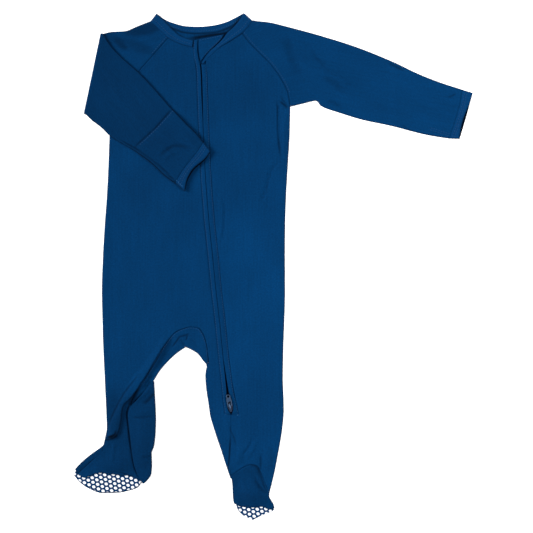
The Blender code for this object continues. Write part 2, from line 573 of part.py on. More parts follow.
def back_body():
    """Back: body and both legs, the flat underside of the whole."""
    right_side = [NECK_CORNER_RIGHT, *((row.right_x, row.right_y) for row in BODY),
                  (-212.4, CROTCH_TOP_BACK[1])]
    left_side = [NECK_CORNER_LEFT, *((row.left_x, row.left_y) for row in BODY),
                 (12.9, CROTCH_TOP_BACK[1])]
    middle = [(np.add(a, b) / 2).tolist() for a, b in zip(right_side, left_side)]
    middle[-1] = CROTCH_TOP_BACK
    right = [NECK_BACK[:5]] + list(zip(right_side, middle))
    left = [NECK_BACK[4:]] + list(zip(middle, left_side))
    turned = np.array((0, 0, *(row.turned for row in BODY), 1), float)
    turned[:-1] = np.maximum(turned[:-1], turned[1:] / 2)
    insets = SEAM / 2 + (BACK_INSET - SEAM / 2) * turned
    rows = [np.concatenate((along(a, stops(BACK_CELLS, trim=(inset, 0))),
                            along(b, stops(BACK_CELLS, trim=(0, inset)))[1:]))
            for a, b, inset in zip(right, left, insets)]
    body = smooth(rows, by_length)
    legs = []
    for table, first in ((UNDER_RIGHT, body[-1, :BACK_CELLS + 1]),
                         (UNDER_LEFT, body[-1, BACK_CELLS:])):
        across = stops(BACK_CELLS, trim=(BACK_INSET, BACK_INSET))
        leg = smooth([first] + [along(points, across) for points in pairs(table)], by_length)
        legs.append(pull_back(leg, start=0))
    return cloth("back_body", [at_height(part, WALL) for part in (pull_back(body, end=0), *legs)])


def leg_back_right():
    """Back of the right leg, turned to the front below the knee by the twist."""
    turned = [(0, 1)] * len(LEG_BACK_RIGHT)
    grid = loft(pairs(LEG_BACK_RIGHT), stops(4, end=True), turned)
    x, y = grid[..., 0], grid[..., 1]
    top = FRONT_TOP + LAYER + LOOSE + lift(x, y) + dome_lift(x, y, TURNED_LEG_DOME)
    return cloth("leg_back_right", [at_height(grid, turned_down(grid, top))])


# ---- Feet ----------------------------------------------------------------------------------

def feet():
    vamp = pull_back(loft(pairs(VAMP_RIGHT), stops(2, start=True), [(1, 0)] * len(VAMP_RIGHT)))
    cloth("foot_top_right", [front_panel(vamp)])
    sole = loft(pairs(SOLE_RIGHT), stops(4))
    cloth("sole_right", [at_height(sole, WALL)], spec=SOLE_PRINT)
    turned = [(1, 1)] * (len(VAMP_LEFT) - 1) + [(0, 0)]
    vamp = pull_back(loft(VAMP_LEFT, stops(LEFT_CELLS, start=True, end=True), turned))
    cloth("foot_top_left", [front_panel(vamp)])
    sole = loft(SOLE_LEFT, stops(6))
    cloth("sole_left", [at_height(sole, WALL)], spec=SOLE_PRINT)


# ---- Sleeves -------------------------------------------------------------------------------

SLEEVE_CELLS = (3, 7)       # along the neck edge, along the raglan seam


def raglan_stops(raglan):
    """Distances of the raglan seam's own points, where the front's sections end."""
    gaps = np.linalg.norm(np.diff(raglan, axis=0), axis=1)

    def distances(length):
        at = np.concatenate(([0.0], np.cumsum(gaps))) * length / gaps.sum()
        edge = [length - SEAM / 2 - EDGE_ROUND * step for step in reversed(EDGE_STEPS)]
        return np.array([*at[:-1], *edge])
    return distances


def raglan_row(neck_point, raglan, start_edge):
    """First section of a sleeve: the neck edge, then the raglan seam down to the armpit."""
    neck = SLEEVE_CELLS[0]
    corner = raglan[0]
    first = along((neck_point, corner), stops(neck, start=True, trim=(SEAM / 2, 0)))
    second = along(raglan, raglan_stops(raglan))
    length = first[-1, 2]
    first[:, 3] += second[0, 3]
    second[:, 2] += length
    row = np.concatenate((first, second[1:]))
    return row if start_edge == "shoulder" else row[::-1][:, (0, 1, 3, 2)]


def sleeve_rows(first_row, sections):
    """Grid of a sleeve through its raglan row and further sections."""
    across = stops(sum(SLEEVE_CELLS), start=True, end=True)
    rows = [first_row] + [along(points, across) for points in sections]
    return smooth([np.pad(row, ((0, 0), (0, 2))) for row in rows], by_length)


def fold_rings(section):
    """Rings that carry the right sleeve around its fold."""
    (px, py), (qx, qy) = section
    length = math.hypot(qx - px, qy - py)
    out = np.array(((qy - py) / length, -(qx - px) / length, 0.0))
    if out[0] > 0:
        out = -out
    across = stops(sum(SLEEVE_CELLS), start=True, end=True)
    row = np.pad(along(section, across), ((0, 0), (0, 2)))[None]
    rings = []
    for degrees in ARM_FOLD_TURNS:
        turn = math.radians(degrees)
        normal = -out * math.sin(turn) + np.array((0, 0, math.cos(turn)))
        ring = tube_rings(row, 0.0, FRONT_TOP, np.broadcast_to(normal, row.shape[:2] + (3,)))
        centre = out * math.sin(turn) + np.array((0, 0, 1 - math.cos(turn)))
        ring += centre * (FRONT_TOP + SEAM) / 2
        rings.append(ring)
    return np.concatenate(rings)


def sleeve_right():
    """Right sleeve: a flattened tube, folded back over the chest."""
    fold = ((ARM_FOLD[0], ARM_FOLD[1]), (ARM_FOLD[2], ARM_FOLD[3]))
    first = raglan_row(SHOULDER_RIGHT, RAGLAN_RIGHT, "shoulder")
    upper = pull_back(sleeve_rows(first, pairs(UPPER_ARM) + [fold]), end=0)
    across = stops(sum(SLEEVE_CELLS), start=True, end=True)
    fore_sections = [fold] + pairs(FOREARM) + [CUFF_SEAM_RIGHT]
    fore = pull_back(loft(fore_sections, across), start=0)
    low, high = forearm_heights(fore)
    rings = np.concatenate((
        tube_rings(upper, 0.0, FRONT_TOP + lift(upper[..., 0], upper[..., 1])),
        fold_rings(fold), tube_rings(fore, low, high, first_below=True)))
    return cloth("sleeve_right", [rings], ring=True)


def forearm_heights(grid):
    """Underside and top of the forearm over what it lies on."""
    x, y = grid[..., 0], grid[..., 1]
    low = bed(x, y)
    return low, low + FRONT_TOP + dome_lift(x, y, FOREARM_DOME)


def mitten_right():
    """Fold-over mitten layer on the back of the right sleeve, which faces up."""
    sections = [MITTEN_EDGE_RIGHT, *pairs(FOREARM[5:]), CUFF_SEAM_RIGHT]
    sections = [section[::-1] for section in sections]
    grid = pull_back(loft(sections, stops(7, trim=(1.6, 1.6))))
    return cloth("mitten_right", [at_height(grid, forearm_heights(grid)[1] + LAYER)])


def cuff_right():
    """Binding of the right cuff, open at its mouth."""
    sections = [section[::-1] for section in (CUFF_SEAM_RIGHT, MOUTH_RIGHT)]
    grid = pull_back(loft(sections, stops(8, start=True, end=True)), start=SEAM * 1.3, end=0)
    low = bed(grid[..., 0], grid[..., 1])
    return cloth("cuff_right", [tube_rings(grid, low, low + FRONT_TOP + LAYER)],
                 wall=CUFF_WALL, spec=NAVY_RIB, ring=True)


def sleeve_left():
    """Left sleeve: a flattened tube, laid out, over its mitten layer near the cuff."""
    first = raglan_row(SHOULDER_LEFT, RAGLAN_LEFT, "underarm")
    sections = [ARMPIT_LEFT] + pairs(SLEEVE_LEFT) + [CUFF_SEAM_LEFT]
    grid = pull_back(sleeve_rows(first, [section[::-1] for section in sections]))
    raised = LAYER * ramp(grid[..., 0], 142, 156)
    top = FRONT_TOP + raised + lift(grid[..., 0], grid[..., 1])
    return cloth("sleeve_left", [tube_rings(grid, raised, top)], ring=True)


def mitten_left():
    """Fold-over mitten layer on the back of the left sleeve, under it."""
    sections = [MITTEN_EDGE_LEFT, *pairs(SLEEVE_LEFT[-2:]), CUFF_SEAM_LEFT]
    grid = pull_back(loft([section[::-1] for section in sections], stops(6)))
    return cloth("mitten_left", [at_height(grid, WALL)])


def cuff_left():
    """Binding of the left cuff, open at its mouth."""
    sections = [section[::-1] for section in (CUFF_SEAM_LEFT, MOUTH_LEFT)]
    grid = pull_back(loft(sections, stops(8, start=True, end=True)), start=SEAM * 1.3, end=0)
    return cloth("cuff_left", [tube_rings(grid, 0.0, FRONT_TOP + LAYER)],
                 wall=CUFF_WALL, spec=NAVY_RIB, ring=True)


# ---- Neck and zip --------------------------------------------------------------------------

def neck():
    bands = (("neckband_right", NECKBAND_RIGHT, WALL + SEAM), ("neckband_back", NECKBAND_BACK, 0),
             ("neckband_left", NECKBAND_LEFT, WALL + SEAM))
    for name, table, base in bands:
        thick = BAND if base else WALL
        grid = pull_back(loft(pairs(table), stops(2)))
        cloth(name, [at_height(grid, base + thick)], wall=thick, spec=NAVY_RIB)
    grid = pull_back(loft(pairs(GUARD), stops(4)))
    cloth("zip_guard", [at_height(grid, FRONT_TOP)])


def strip_heights(y_range):
    """Heights of a strip's sections: the front's own ones and the facings' bends."""
    high, low = y_range
    ends = [row.zip_y for row in BODY] + [row[0] for row in SHIN_LEFT]
    fine = [y for a, b in zip(ends, ends[1:]) for y in np.linspace(a, b, by_length(a - b) + 1)]
    inside = {round(float(y), 3) for y in (*fine, *(row[0] for row in FACING_PATH))
              if low + 1 < y < high - 1}
    return sorted({high, low, *inside}, reverse=True)


def strip_between(name, left_edge, right_edge, y_range, top, wall, spec):
    """Narrow strip along the zip between two edges given as functions of y."""
    heights = strip_heights(y_range)
    sections = [((left_edge(y), y), (right_edge(y), y)) for y in heights]
    grid = loft(sections, stops(1), per_span=lambda gap: 1)
    z = top + lift(grid[..., 0], grid[..., 1])
    return cloth(name, [at_height(grid, z)], wall=wall, spec=spec)


def zip_strips():
    """The tape, and the stitched facings that cover it."""
    facing_top = FRONT_TOP + FACING_RISE
    strip_between("placket_right", lambda y: zip_x(y) - facing(y, 2),
                  lambda y: zip_x(y) - facing(y, 1), (ZIP_TOP, ZIP_END), facing_top, WALL, NAVY)
    strip_between("placket_left", lambda y: zip_x(y) + facing(y, 1),
                  lambda y: zip_x(y) + facing(y, 3), (GUARD_END, ZIP_END), facing_top, WALL, NAVY)
    strip_between("zip_tape", lambda y: zip_x(y) - FACING_RIGHT + 0.5,
                  lambda y: zip_x(y) + FACING_LEFT - 0.5, (GUARD_END, ZIP_END),
                  LAYER + TAPE, TAPE, NAVY_TAPE)


def plate(name, outline, holes, thick, spec):
    """Flat plate with holes, from outlines in mm, centred on z = 0."""
    curve = bpy.data.curves.new(name, "CURVE")
    curve.dimensions = "2D"
    curve.fill_mode = "BOTH"
    curve.extrude = thick / 2 * MM
    for points in (outline, *holes):
        spline = curve.splines.new("POLY")
        spline.points.add(len(points) - 1)
        for target, (x, y) in zip(spline.points, points):
            target.co = (x * MM, y * MM, 0, 1)
        spline.use_cyclic_u = True
    guide = bpy.data.objects.new(name + "_outline", curve)
    bpy.context.scene.collection.objects.link(guide)
    bpy.context.view_layer.update()
    mesh = bpy.data.meshes.new_from_object(guide.evaluated_get(
        bpy.context.evaluated_depsgraph_get()))
    bpy.data.objects.remove(guide)
    work = bmesh.new()
    work.from_mesh(mesh)
    bmesh.ops.remove_doubles(work, verts=work.verts, dist=1e-6)
    work.to_mesh(mesh)
    work.free()
    mesh.name = name
    mesh.materials.clear()
    return new_object(name, mesh, spec)


def arc(x, y, radius, start, end, count):
    """Points on an arc, angles in degrees."""
    turns = np.radians(np.linspace(start, end, count))
    return [(x + radius * math.cos(a), y + radius * math.sin(a)) for a in turns]


def rounded_edges(obj, width, segments=2):
    bevel = obj.modifiers.new("Rounded", "BEVEL")
    bevel.width = width * MM
    bevel.segments = segments
    bevel.limit_method = "ANGLE"


def zip_slider():
    """Slider: a tapered plate with a crown over it, on the tape."""
    slider = plate("zip_slider", SLIDER_OUTLINE, (), SLIDER_PLATE, SLIDER_FINISH)
    inner = CROWN_HALF - CROWN_BAR
    rise = SLIDER_PLATE / 2 + CROWN_CLEAR
    shoulder, top = rise + CROWN_BAR / 4, rise + CROWN_BAR
    profile = ((-CROWN_HALF, 0), (-CROWN_HALF, shoulder), (-inner, top), (inner, top),
               (CROWN_HALF, shoulder), (CROWN_HALF, 0), (inner, 0), (inner, rise),
               (-inner, rise), (-inner, 0))
    crown = plate("crown", profile, (), CROWN_WIDTH, SLIDER_FINISH)
    crown.rotation_euler = (math.pi / 2, 0, math.pi / 2)
    crown.parent = slider
    crown.hide_render = True
    crown.display_type = "WIRE"
    join = slider.modifiers.new("Crown", "BOOLEAN")
    join.operation = "UNION"
    join.object = crown
    bpy.data.collections["Onesie"].objects.unlink(crown)
    bpy.data.collections["Cutters"].objects.link(crown)
    rounded_edges(slider, 0.3, 1)
    return slider


def zip_pull():
    """Pull tab: a plate with a window round the crown and a hole in its end."""
    half, reach = PULL_WIDTH / 2, PULL_LENGTH - PULL_THICK / 2
    end = arc(0, reach - half, half, 0, 180, 9)
    outline = [(-half, -PULL_THICK / 2), (half, -PULL_THICK / 2), *end]
    side, low = PULL_WINDOW_WIDTH / 2, PULL_THICK / 2
    window = [(-side, low), (-side, low + PULL_WINDOW), (side, low + PULL_WINDOW), (side, low)]
    hole = arc(0, reach - 2.4, PULL_HOLE / 2, 360, 36, 10)
    pull = plate("zip_pull", outline, (window, hole), PULL_THICK, SLIDER_FINISH)
    rounded_edges(pull, 0.2, 1)
    return pull


def zip_metal():
    """Slider and pull tab in their places on the zip."""
    base = LAYER + TAPE + SEAM + float(lift(np.array(SLIDER_PLACE[0]), np.array(SLIDER_PLACE[1])))
    slider, pull = zip_slider(), zip_pull()
    slider.location = (SLIDER_PLACE[0] * MM, SLIDER_PLACE[1] * MM, (base + SLIDER_PLATE / 2) * MM)
    slider.rotation_euler = (0, 0, ZIP_TILT)
    pull.location = ((SLIDER_PLACE[0] - PULL_AXIS_ALONG * math.sin(ZIP_TILT)) * MM,
                     (SLIDER_PLACE[1] + PULL_AXIS_ALONG * math.cos(ZIP_TILT)) * MM,
                     (base + PULL_AXIS_UP) * MM)
    pull.rotation_euler = (0, 0, ZIP_TILT)


def build():
    for obj in list(bpy.data.objects):
        bpy.data.objects.remove(obj)
    for name in ("Onesie", "Cutters"):
        collection = bpy.data.collections.new(name)
        bpy.context.scene.collection.children.link(collection)
    back_body()
    front_right()
    front_left()
    gusset()
    leg_back_right()
    feet()
    sleeve_right()
    mitten_right()
    cuff_right()
    sleeve_left()
    mitten_left()
    cuff_left()
    neck()
    zip_strips()
    zip_metal()


build()
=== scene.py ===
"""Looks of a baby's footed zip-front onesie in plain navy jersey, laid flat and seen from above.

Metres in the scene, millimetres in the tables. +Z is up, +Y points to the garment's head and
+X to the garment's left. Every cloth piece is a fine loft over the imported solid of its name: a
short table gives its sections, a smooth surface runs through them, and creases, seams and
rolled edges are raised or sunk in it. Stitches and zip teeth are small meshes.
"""

import math
from collections import namedtuple

import bmesh
import bpy
import numpy as np
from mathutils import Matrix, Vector
from mathutils.bvhtree import BVHTree


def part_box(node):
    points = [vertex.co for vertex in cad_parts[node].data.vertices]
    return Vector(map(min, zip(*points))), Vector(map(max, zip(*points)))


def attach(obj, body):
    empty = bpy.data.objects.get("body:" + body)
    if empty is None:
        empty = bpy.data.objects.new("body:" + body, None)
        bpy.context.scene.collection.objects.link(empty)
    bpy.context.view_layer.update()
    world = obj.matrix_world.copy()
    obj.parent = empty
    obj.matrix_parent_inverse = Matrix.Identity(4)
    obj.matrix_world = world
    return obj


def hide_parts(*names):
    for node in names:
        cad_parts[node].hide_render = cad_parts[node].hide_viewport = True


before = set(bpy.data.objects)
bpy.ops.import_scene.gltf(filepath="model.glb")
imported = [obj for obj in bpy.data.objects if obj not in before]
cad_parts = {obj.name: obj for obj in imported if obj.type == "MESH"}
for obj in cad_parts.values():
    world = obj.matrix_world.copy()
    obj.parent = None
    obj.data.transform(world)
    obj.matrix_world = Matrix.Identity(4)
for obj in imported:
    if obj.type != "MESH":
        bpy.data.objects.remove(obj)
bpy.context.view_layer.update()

MM = 0.001

# Cloth and layers, in mm
WALL = 1.2            # one layer of jersey
SEAM = 0.3            # clearance at seams and between layers
LAYER = WALL + SEAM   # rise from one layer to the next
LOOSE = 0.5           # more room under the turned leg, whose layers don't press together
FRONT_TOP = WALL + LAYER
BAND = 1.6            # neck binding, folded double
TAPE_WALL = 0.6       # zip tape
CUFF_WALL = 1.4
CELL = 1.45           # length of a mesh cell along a piece

# Edges that turn down around the back, in mm
EDGE_ROUND = 2.0
EDGE_STEPS = (0.0, 0.05, 0.15, 0.3, 0.5, 0.72, 1.0)
EDGE_FOOT = 0.7       # height at which a turned edge ends
BACK_INSET = 2.7      # how far the back stays inside a turned edge

# Zip, in mm
FACING_RIGHT = 6.0    # width of the stitched facing on each side of the zip
FACING_LEFT = 7.1
FACING_RISE = 0.9
FACING_ROLL, FACING_DROP = 0.7, 0.6        # its rolled edge at the slit: width, drop
FACING_SLOPE = (0.3, 1.0)                  # it slopes down over this share of its width
SLIT = 0.65           # half the slit between the facings, where it shows
ZIP_TOP, GUARD_END, ZIP_END = 283.0, 253.0, -184.0
FACING_PAST = 2.6     # how far the facings run on past the zip's end
FACING_STARTS = (ZIP_END - 0.6, ZIP_END + 3)   # they rise between these y and sink below
FACING_SINK, FACING_ENDS = 0.9, (ZIP_END + 0.2, ZIP_END - 1.2)
TAPE_INSET = 1.5      # how far the tape's edges stay under the facings

# Slider and pull tab, in mm, x across and y up the zip from the tab's axis: outline, holes
TAB_TILT = math.radians(10.2)
TAB_PLACE = (-53.8, -174.4)
TAB_RING, TAB_RING_RADIUS, TAB_HOLE_RADIUS = 12.2, 2.55, 1.6
METAL_EDGE, PLATE_THICK = 0.3, 1.3         # rounding of the metal's edges
CROWN_BASE, CROWN_HALF, CROWN_THICK = 1.2, 1.0, 0.55       # the crown's foot and half sizes
TAB_OUTLINE = ((-2.7, -0.45), (2.7, -0.45), (3, 0.2), (3.1, 7.6), (2.8, 8.8), (2.3, 10))
TAB_WINDOW = ((-1.95, 0.45), (-2, 4.2), (-1.6, 4.8), (1.4, 6), (2, 5.6), (1.95, 0.45))
SLIDER_PLATE = ((-2.7, 4.4), (-3, 3.2), (-2.9, -1.6), (-2, -5.4), (-1.2, -7.6), (1.2, -7.6),
    (2, -5.4), (2.9, -1.6), (3, 3.2), (2.7, 4.4))
# The crown's arch: y along the zip, height above the plate
CROWN_LINE = ((3, -0.2), (2.5, 1.7), (1, 2.6), (-1.4, 2.7), (-3.6, 2.2), (-5.3, 1), (-6, -0.2))

# Centre of the zip: height y, place x
ZIP_PATH = ((290, -93.2), (270, -94), (260, -92.5), (250, -90.2), (237, -89.2), (220, -88.8),
    (145, -86.2), (104, -83.8), (58, -80.2), (14, -75.5), (-30, -71.2), (-73, -66.2), (-117, -62),
    (-136, -59.4), (-160, -56.3), (-183, -52.5), (-213, -52.5), (-232, -53.4), (-242, -53.7),
    (-266, -52.9))

# How far each facing's inner and outer edge stands from the zip's centre: y, inner, right, left
FACING_PATH = ((290, SLIT, FACING_RIGHT, FACING_LEFT), (215, SLIT, FACING_RIGHT, FACING_LEFT),
    (180, 0.12, FACING_RIGHT, FACING_LEFT), (-115, 0.12, FACING_RIGHT, FACING_LEFT),
    (-132, 0.5, 6.3, 7.1), (-148, 0.95, 6.6, 7.2), (-157, 1.35, 6.9, 7.5), (-161, 2.3, 7, 7.7),
    (-166, 3.1, 7.4, 8.2), (-176, 3.3, 7.6, 8.8), (-180, 2.9, 7.8, 9.2), (-182.5, 1.6, 7.8, 9.2),
    (-184, 0.8, 7.8, 9.2), (-187, 0.2, 7, 8.4))

# Body sections from the neck to the crotch: right x, y; y at the zip; left x, y; edge turned
Body = namedtuple("Body", "right_x right_y zip_y left_x left_y turned")
BODY = tuple(Body(*row) for row in (
    (-139.5, 277, 254, -30, 281.5, 0),
    (-150, 265, 243, -19.5, 270.5, 0),
    (-163.8, 249.4, 229, -7.5, 258.8, 0),
    (-175, 235.6, 214, 3, 246.2, 0),
    (-186, 221, 199, 12.5, 231.5, 0),
    (-196, 207, 186, 19, 217, 0),
    (-203.8, 195.5, 174, 21.8, 198.2, 0),
    (-204.6, 181, 163, 21.5, 186, 1),
    (-205, 160.6, 149, 21, 165, 1),
    (-206.2, 127, 123, 18.8, 128, 1),
    (-208.1, 89, 89, 16.6, 89, 1),
    (-210.8, 52, 52, 15.4, 52, 1),
    (-213, 14, 14, 15.1, 14, 1),
    (-214.4, -30, -30, 15.3, -30, 1),
    (-213.5, -75, -75, 14.1, -75, 1)))
NECK_CORNER_RIGHT, NECK_CORNER_LEFT = (-131, 286.5), (-38.2, 292.2)
NECK_RIGHT = (NECK_CORNER_RIGHT, (-122, 282), (-112, 278), (-99.9, 275))
NECK_LEFT = ((-83.9, 259.4), (-76.5, 266.4), (-66.5, 275), (-56.3, 280.6), (-48, 285.8),
    NECK_CORNER_LEFT)
NECK_BACK = ((-142, 304), (-135, 300.9), (-123, 296.8), (-108.5, 293.4), (-93, 292.2), (-76, 293),
    (-60, 297.4), (-48, 302.8), (-42, 305.9))
RAGLAN_RIGHT = (NECK_CORNER_RIGHT,) + tuple((row.right_x, row.right_y) for row in BODY[:7])
RAGLAN_LEFT = (NECK_CORNER_LEFT,) + tuple((row.left_x, row.left_y) for row in BODY[:7])

# Right leg from the crotch's top: outer edge x, y; gusset seam x, y; crotch edge x, y
CROTCH_RIGHT = ((-213.5, -75, -104, -75, -109, -100.9),
    (-213.2, -86, -119.5, -80.6, -121.3, -109.6), (-212.8, -98, -132.5, -94.4, -131.3, -118.9),
    (-211.9, -118, -147.5, -118.1, -142.8, -132.6), (-210.8, -140, -159.4, -138.1, -149.4, -143.4),
    (-210.4, -149, -165.5, -146.9, -156.3, -151.2), (-209.9, -160, -171.6, -157.6, -165, -160),
    (-209.3, -172, -176.9, -170.6, -175.3, -171.8))
# Lower right leg, under its turned back: outer x, y; inner x, y
SHIN_RIGHT = ((-208.7, -187, -175.5, -185), (-208.2, -202, -174.5, -201),
    (-210.3, -214, -173.5, -216), (-212.2, -223, -172, -229), (-213.8, -230.8, -170.5, -240),
    (-221.5, -238, -168.5, -249), (-229.5, -245.6, -166.5, -257), (-237.5, -252.8, -165.2, -264))
SHIN_RIGHT_TURNED = (1, 1, 1, 0.5, 0, 0, 0, 0)
SOLE_SEAM_RIGHT = ((-245, -259.8), (-236, -264.5), (-226, -260.5), (-212.5, -256.9),
    (-198.8, -256.1), (-178.8, -261), (-164.2, -269))

# Strip of the left leg beside the zip: y at the zip; gusset seam x, y; crotch edge x, y
CROTCH_LEFT = ((-75, -104, -75, -109, -100.9), (-78, -95.6, -75.8, -102.5, -104.3),
    (-87, -87.5, -84.4, -95, -108.8), (-103, -82.5, -103.1, -87.5, -118.1),
    (-120, -81.2, -119.4, -83.4, -124))
# Inner edge of the left leg below the gusset: y at the front seam; x, y
SHIN_STRIP = ((-129, -83.8, -128), (-138, -84.9, -137), (-156, -83.4, -156), (-170, -81.2, -170),
    (-181, -79.7, -181), (-184.2, -79.2, -184.4), (-186.4, -78.9, -186.4), (-205, -73.6, -204.5),
    (-218, -69.2, -218), (-230, -65, -230), (-242, -61.2, -242), (-254, -57.1, -254.5),
    (-265.5, -53.3, -265.5))

# Left leg below the crotch: y at the front seam; outer x, y
SHIN_LEFT = ((-100, 13.2, -100), (-140, 12.5, -140), (-172, 13.6, -172), (-181, 13.7, -181),
    (-184.2, 13.5, -184.4), (-186.4, 13.4, -186.6), (-204, 11.6, -204.4), (-220, 9.1, -220.6),
    (-236, 6.3, -235.6))
ANKLE_LEFT = ((-54, -250), (-40, -244), (-25, -240), (-9, -247), (2.4, -256))
VAMP_SEAM_LEFT = ((-52.6, -262.6), (-41.6, -254.9), (-27, -248.3), (-19, -250.4), (-14.1, -260.4),
    (-8.8, -273.1), (-4.6, -284.6))

# Back panel of the turned lower right leg: left x, y; right x, y
LEG_BACK_RIGHT = ((-152.6, -143.6, -148.6, -143.4), (-161.5, -156.5, -147.6, -160),
    (-171, -167.5, -146.9, -172), (-179, -176.5, -146.4, -183), (-181.4, -186, -146.2, -194),
    (-180.4, -197, -146.6, -206), (-177.9, -218, -148.4, -224), (-176, -233, -151.6, -234.2),
    (-174.3, -246.5, -151.2, -248), (-170.6, -257, -152, -259.5), (-166.5, -266, -157.4, -268),
    (-162.8, -271.4, -161, -271.6))

# Under parts of the legs: outer x, y; inner x, y
UNDER_RIGHT = ((-211.8, -108, -122.5, -107), (-211.2, -119, -132.5, -116.4),
    (-210.6, -131, -144, -131), (-210, -142, -150.2, -142.8), (-208.3, -172, -146.8, -172),
    (-207.6, -195, -146.4, -195), (-209, -211.5, -147.7, -217), (-210.6, -221, -149.2, -225.5),
    (-214, -228, -152.2, -233))
UNDER_LEFT = ((-100, -104.4, 12.8, -104), (-92, -110, 12.8, -110), (-82.8, -118.4, 12.7, -119),
    (-80.6, -127, 12.6, -127), (-83.2, -156, 12.8, -156), (-79.4, -183, 13.5, -183),
    (-73.4, -204.5, 11.6, -204.5), (-64.6, -230, 7.4, -230), (-54.8, -250, 3.6, -250),
    (-53.2, -264, 0, -265.5))
CROTCH_TOP_BACK = (-109, -97)

# Feet, in sections: one edge x, y; other edge x, y
VAMP_RIGHT = ((-211.2, -222.4, -212.6, -232.6), (-217, -227.2, -221, -238.3),
    (-228, -235, -229.4, -245), (-240.5, -245.5, -237.4, -252.2), (-248, -253.6, -245, -259))
SOLE_RIGHT = ((-249.2, -261.6, -247.6, -256.6), (-241.6, -270.5, -236.5, -248.2),
    (-230.5, -278.2, -227, -240.8), (-213.5, -284, -212, -233.6), (-194, -283.4, -194, -236.6),
    (-179, -280.4, -178, -239), (-169.4, -276.8, -168.6, -240), (-162.6, -267.4, -161.6, -240.6),
    (-156, -260, -155.6, -240.8))
VAMP_LEFT = (VAMP_SEAM_LEFT,
             ((-51, -273.6), (-27, -266.5), (-4.4, -288.4)),
             ((-50.6, -284.5), (-26, -281.5), (-2.2, -292.6)),
             ((-50, -291.8), (-26, -291.4), (0.8, -297.8)),
             ((-48.8, -296.6), (-41, -300.4), (-27.5, -301.8), (-14, -300.8), (-4, -304.4),
              (2, -302.2)))
SOLE_LEFT = (((-49.6, -266.4), (-4.4, -268.4)), ((-48.2, -278), (-7.2, -281)),
             ((-47, -288), (-6.4, -289.6)), ((-46.4, -296), (-3.6, -299.4)),
             ((-45.4, -301.6), (1.6, -304)),
             ((-42.6, -306.6), (-24, -309.5), (-4.8, -308.2)),
             ((-36.5, -312.4), (-25, -314.2), (-14.6, -311.8)),
             ((-29.4, -315.8), (-26.6, -316.8), (-23.2, -315.4)))

# Neck binding, in sections: outer x, y; inner x, y
NECKBAND_RIGHT = ((-152.2, 306.6, -144.8, 316.2), (-146.4, 301.8, -137.6, 309.6),
    (-140, 295.8, -131.4, 303.2), (-131.2, 287.6, -125, 296.6), (-122.4, 282.6, -117, 289.8),
    (-112.4, 278.6, -108.6, 286), (-101.8, 275.8, -100.6, 283.6))
NECKBAND_BACK = ((-146, 308, -144.6, 316), (-135, 301.2, -134.4, 308.9), (-123, 297, -122.4, 304.3),
    (-108.5, 293.6, -107.5, 301), (-93, 292.4, -91.5, 300.5), (-76, 293.2, -75, 302),
    (-60, 297.6, -58.5, 306.3), (-47, 303.6, -46, 312.2), (-38, 309, -37.4, 317))
NECKBAND_LEFT = ((-37.2, 316.8, -26.8, 307.2), (-42, 308.8, -32, 300), (-49.4, 300, -39, 293),
    (-57.5, 292.4, -48.4, 286.6), (-63, 285, -56.6, 281.4), (-73.2, 274.8, -69.2, 273.2),
    (-80, 268.6, -77.4, 266.4), (-86, 260.8, -84.2, 259.6), (-89.2, 255.2, -88.4, 254.6))
GUARD = ((-93.2, 284.6, -60.6, 290.8), (-93.6, 278, -65, 284.2), (-93.2, 269, -75.2, 274.2),
    (-92.2, 262, -82.8, 266.6), (-91.2, 257.4, -88, 259.6))

# Right sleeve up to its fold: shoulder edge x, y; underarm edge x, y
SHOULDER_RIGHT = (-151.9, 307.8)
UPPER_ARM = ((-168.8, 301.2, -211, 195.2), (-186.3, 294.7, -219.5, 194), (-201, 294, -227, 191.9))
ARM_FOLD = (-212.8, 291.4, -234.1, 189.9)
ARM_FOLD_TURNS = np.linspace(12, 168, 14)
# The upper sleeve's painted shade grows between these x towards its fold
ARM_TURN_X = (-185, -208)  # the sleeve darkens towards its fold between these x
# The forearm's bed rises to the facings between these x, droops beside the body between these x, y
BED_FACINGS, BED_DROOP, BED_SIDE, BED_END = (-130, -100), 2.2, (-208, -224), (190, 172)
MITTEN_STEP, MITTEN_RISE = 0.2, 9.0        # the mitten layer's edge: height, length of its rise
MITTEN_SIDE = 0.6          # how far its sides turn down, as a share of the sleeve's thickness
# Right sleeve from its fold to the cuff, lying over the chest
FOREARM = ((-202.5, 275.8, -226.3, 182.4), (-190, 262.5, -215, 173.8),
    (-166.8, 241.9, -202.5, 161.9), (-146.2, 220, -186.2, 151.9), (-125, 195.6, -171.2, 143.1),
    (-108.8, 178.8, -151.2, 128.8), (-95, 165, -133.8, 112.5))
CUFF_SEAM_RIGHT = ((-86.2, 154.4), (-93.8, 142.5), (-106.9, 126.1), (-114.1, 116), (-121.2, 103.4))
MOUTH_RIGHT = ((-77.5, 143.8), (-83.2, 134.8), (-100, 118.9), (-106.9, 106), (-110, 93.2))
MITTEN_EDGE_RIGHT = ((-125.6, 196.4), (-147, 173), (-169, 152.6), (-174, 145.4))

# Left sleeve: shoulder edge x, y; underarm edge x, y
SHOULDER_LEFT = (-26.2, 308)
SLEEVE_LEFT = ((18.8, 300.1, 53.8, 207.2), (33.8, 296.2, 60, 200.8), (65, 287.4, 83.8, 191.9),
    (103.8, 275, 113.8, 182.9), (143.8, 259.1, 143.8, 176.6), (183.8, 240.2, 173.8, 169),
    (208.8, 230.5, 196.2, 163.8))
ARMPIT_LEFT = ((-6, 305.9), (10, 280), (27, 238), (37.5, 203.6))
CUFF_SEAM_LEFT = ((237.5, 221.1), (235, 205), (229, 183), (221.2, 159.8))
MOUTH_LEFT = ((249.8, 217.4), (245.5, 200), (239.8, 180), (233.6, 159.4))
MITTEN_EDGE_LEFT = ((168, 245), (165.6, 206), (159.6, 173))
MITTEN_LEFT_X = (142, 156) # the left sleeve rises onto its mitten layer between these x

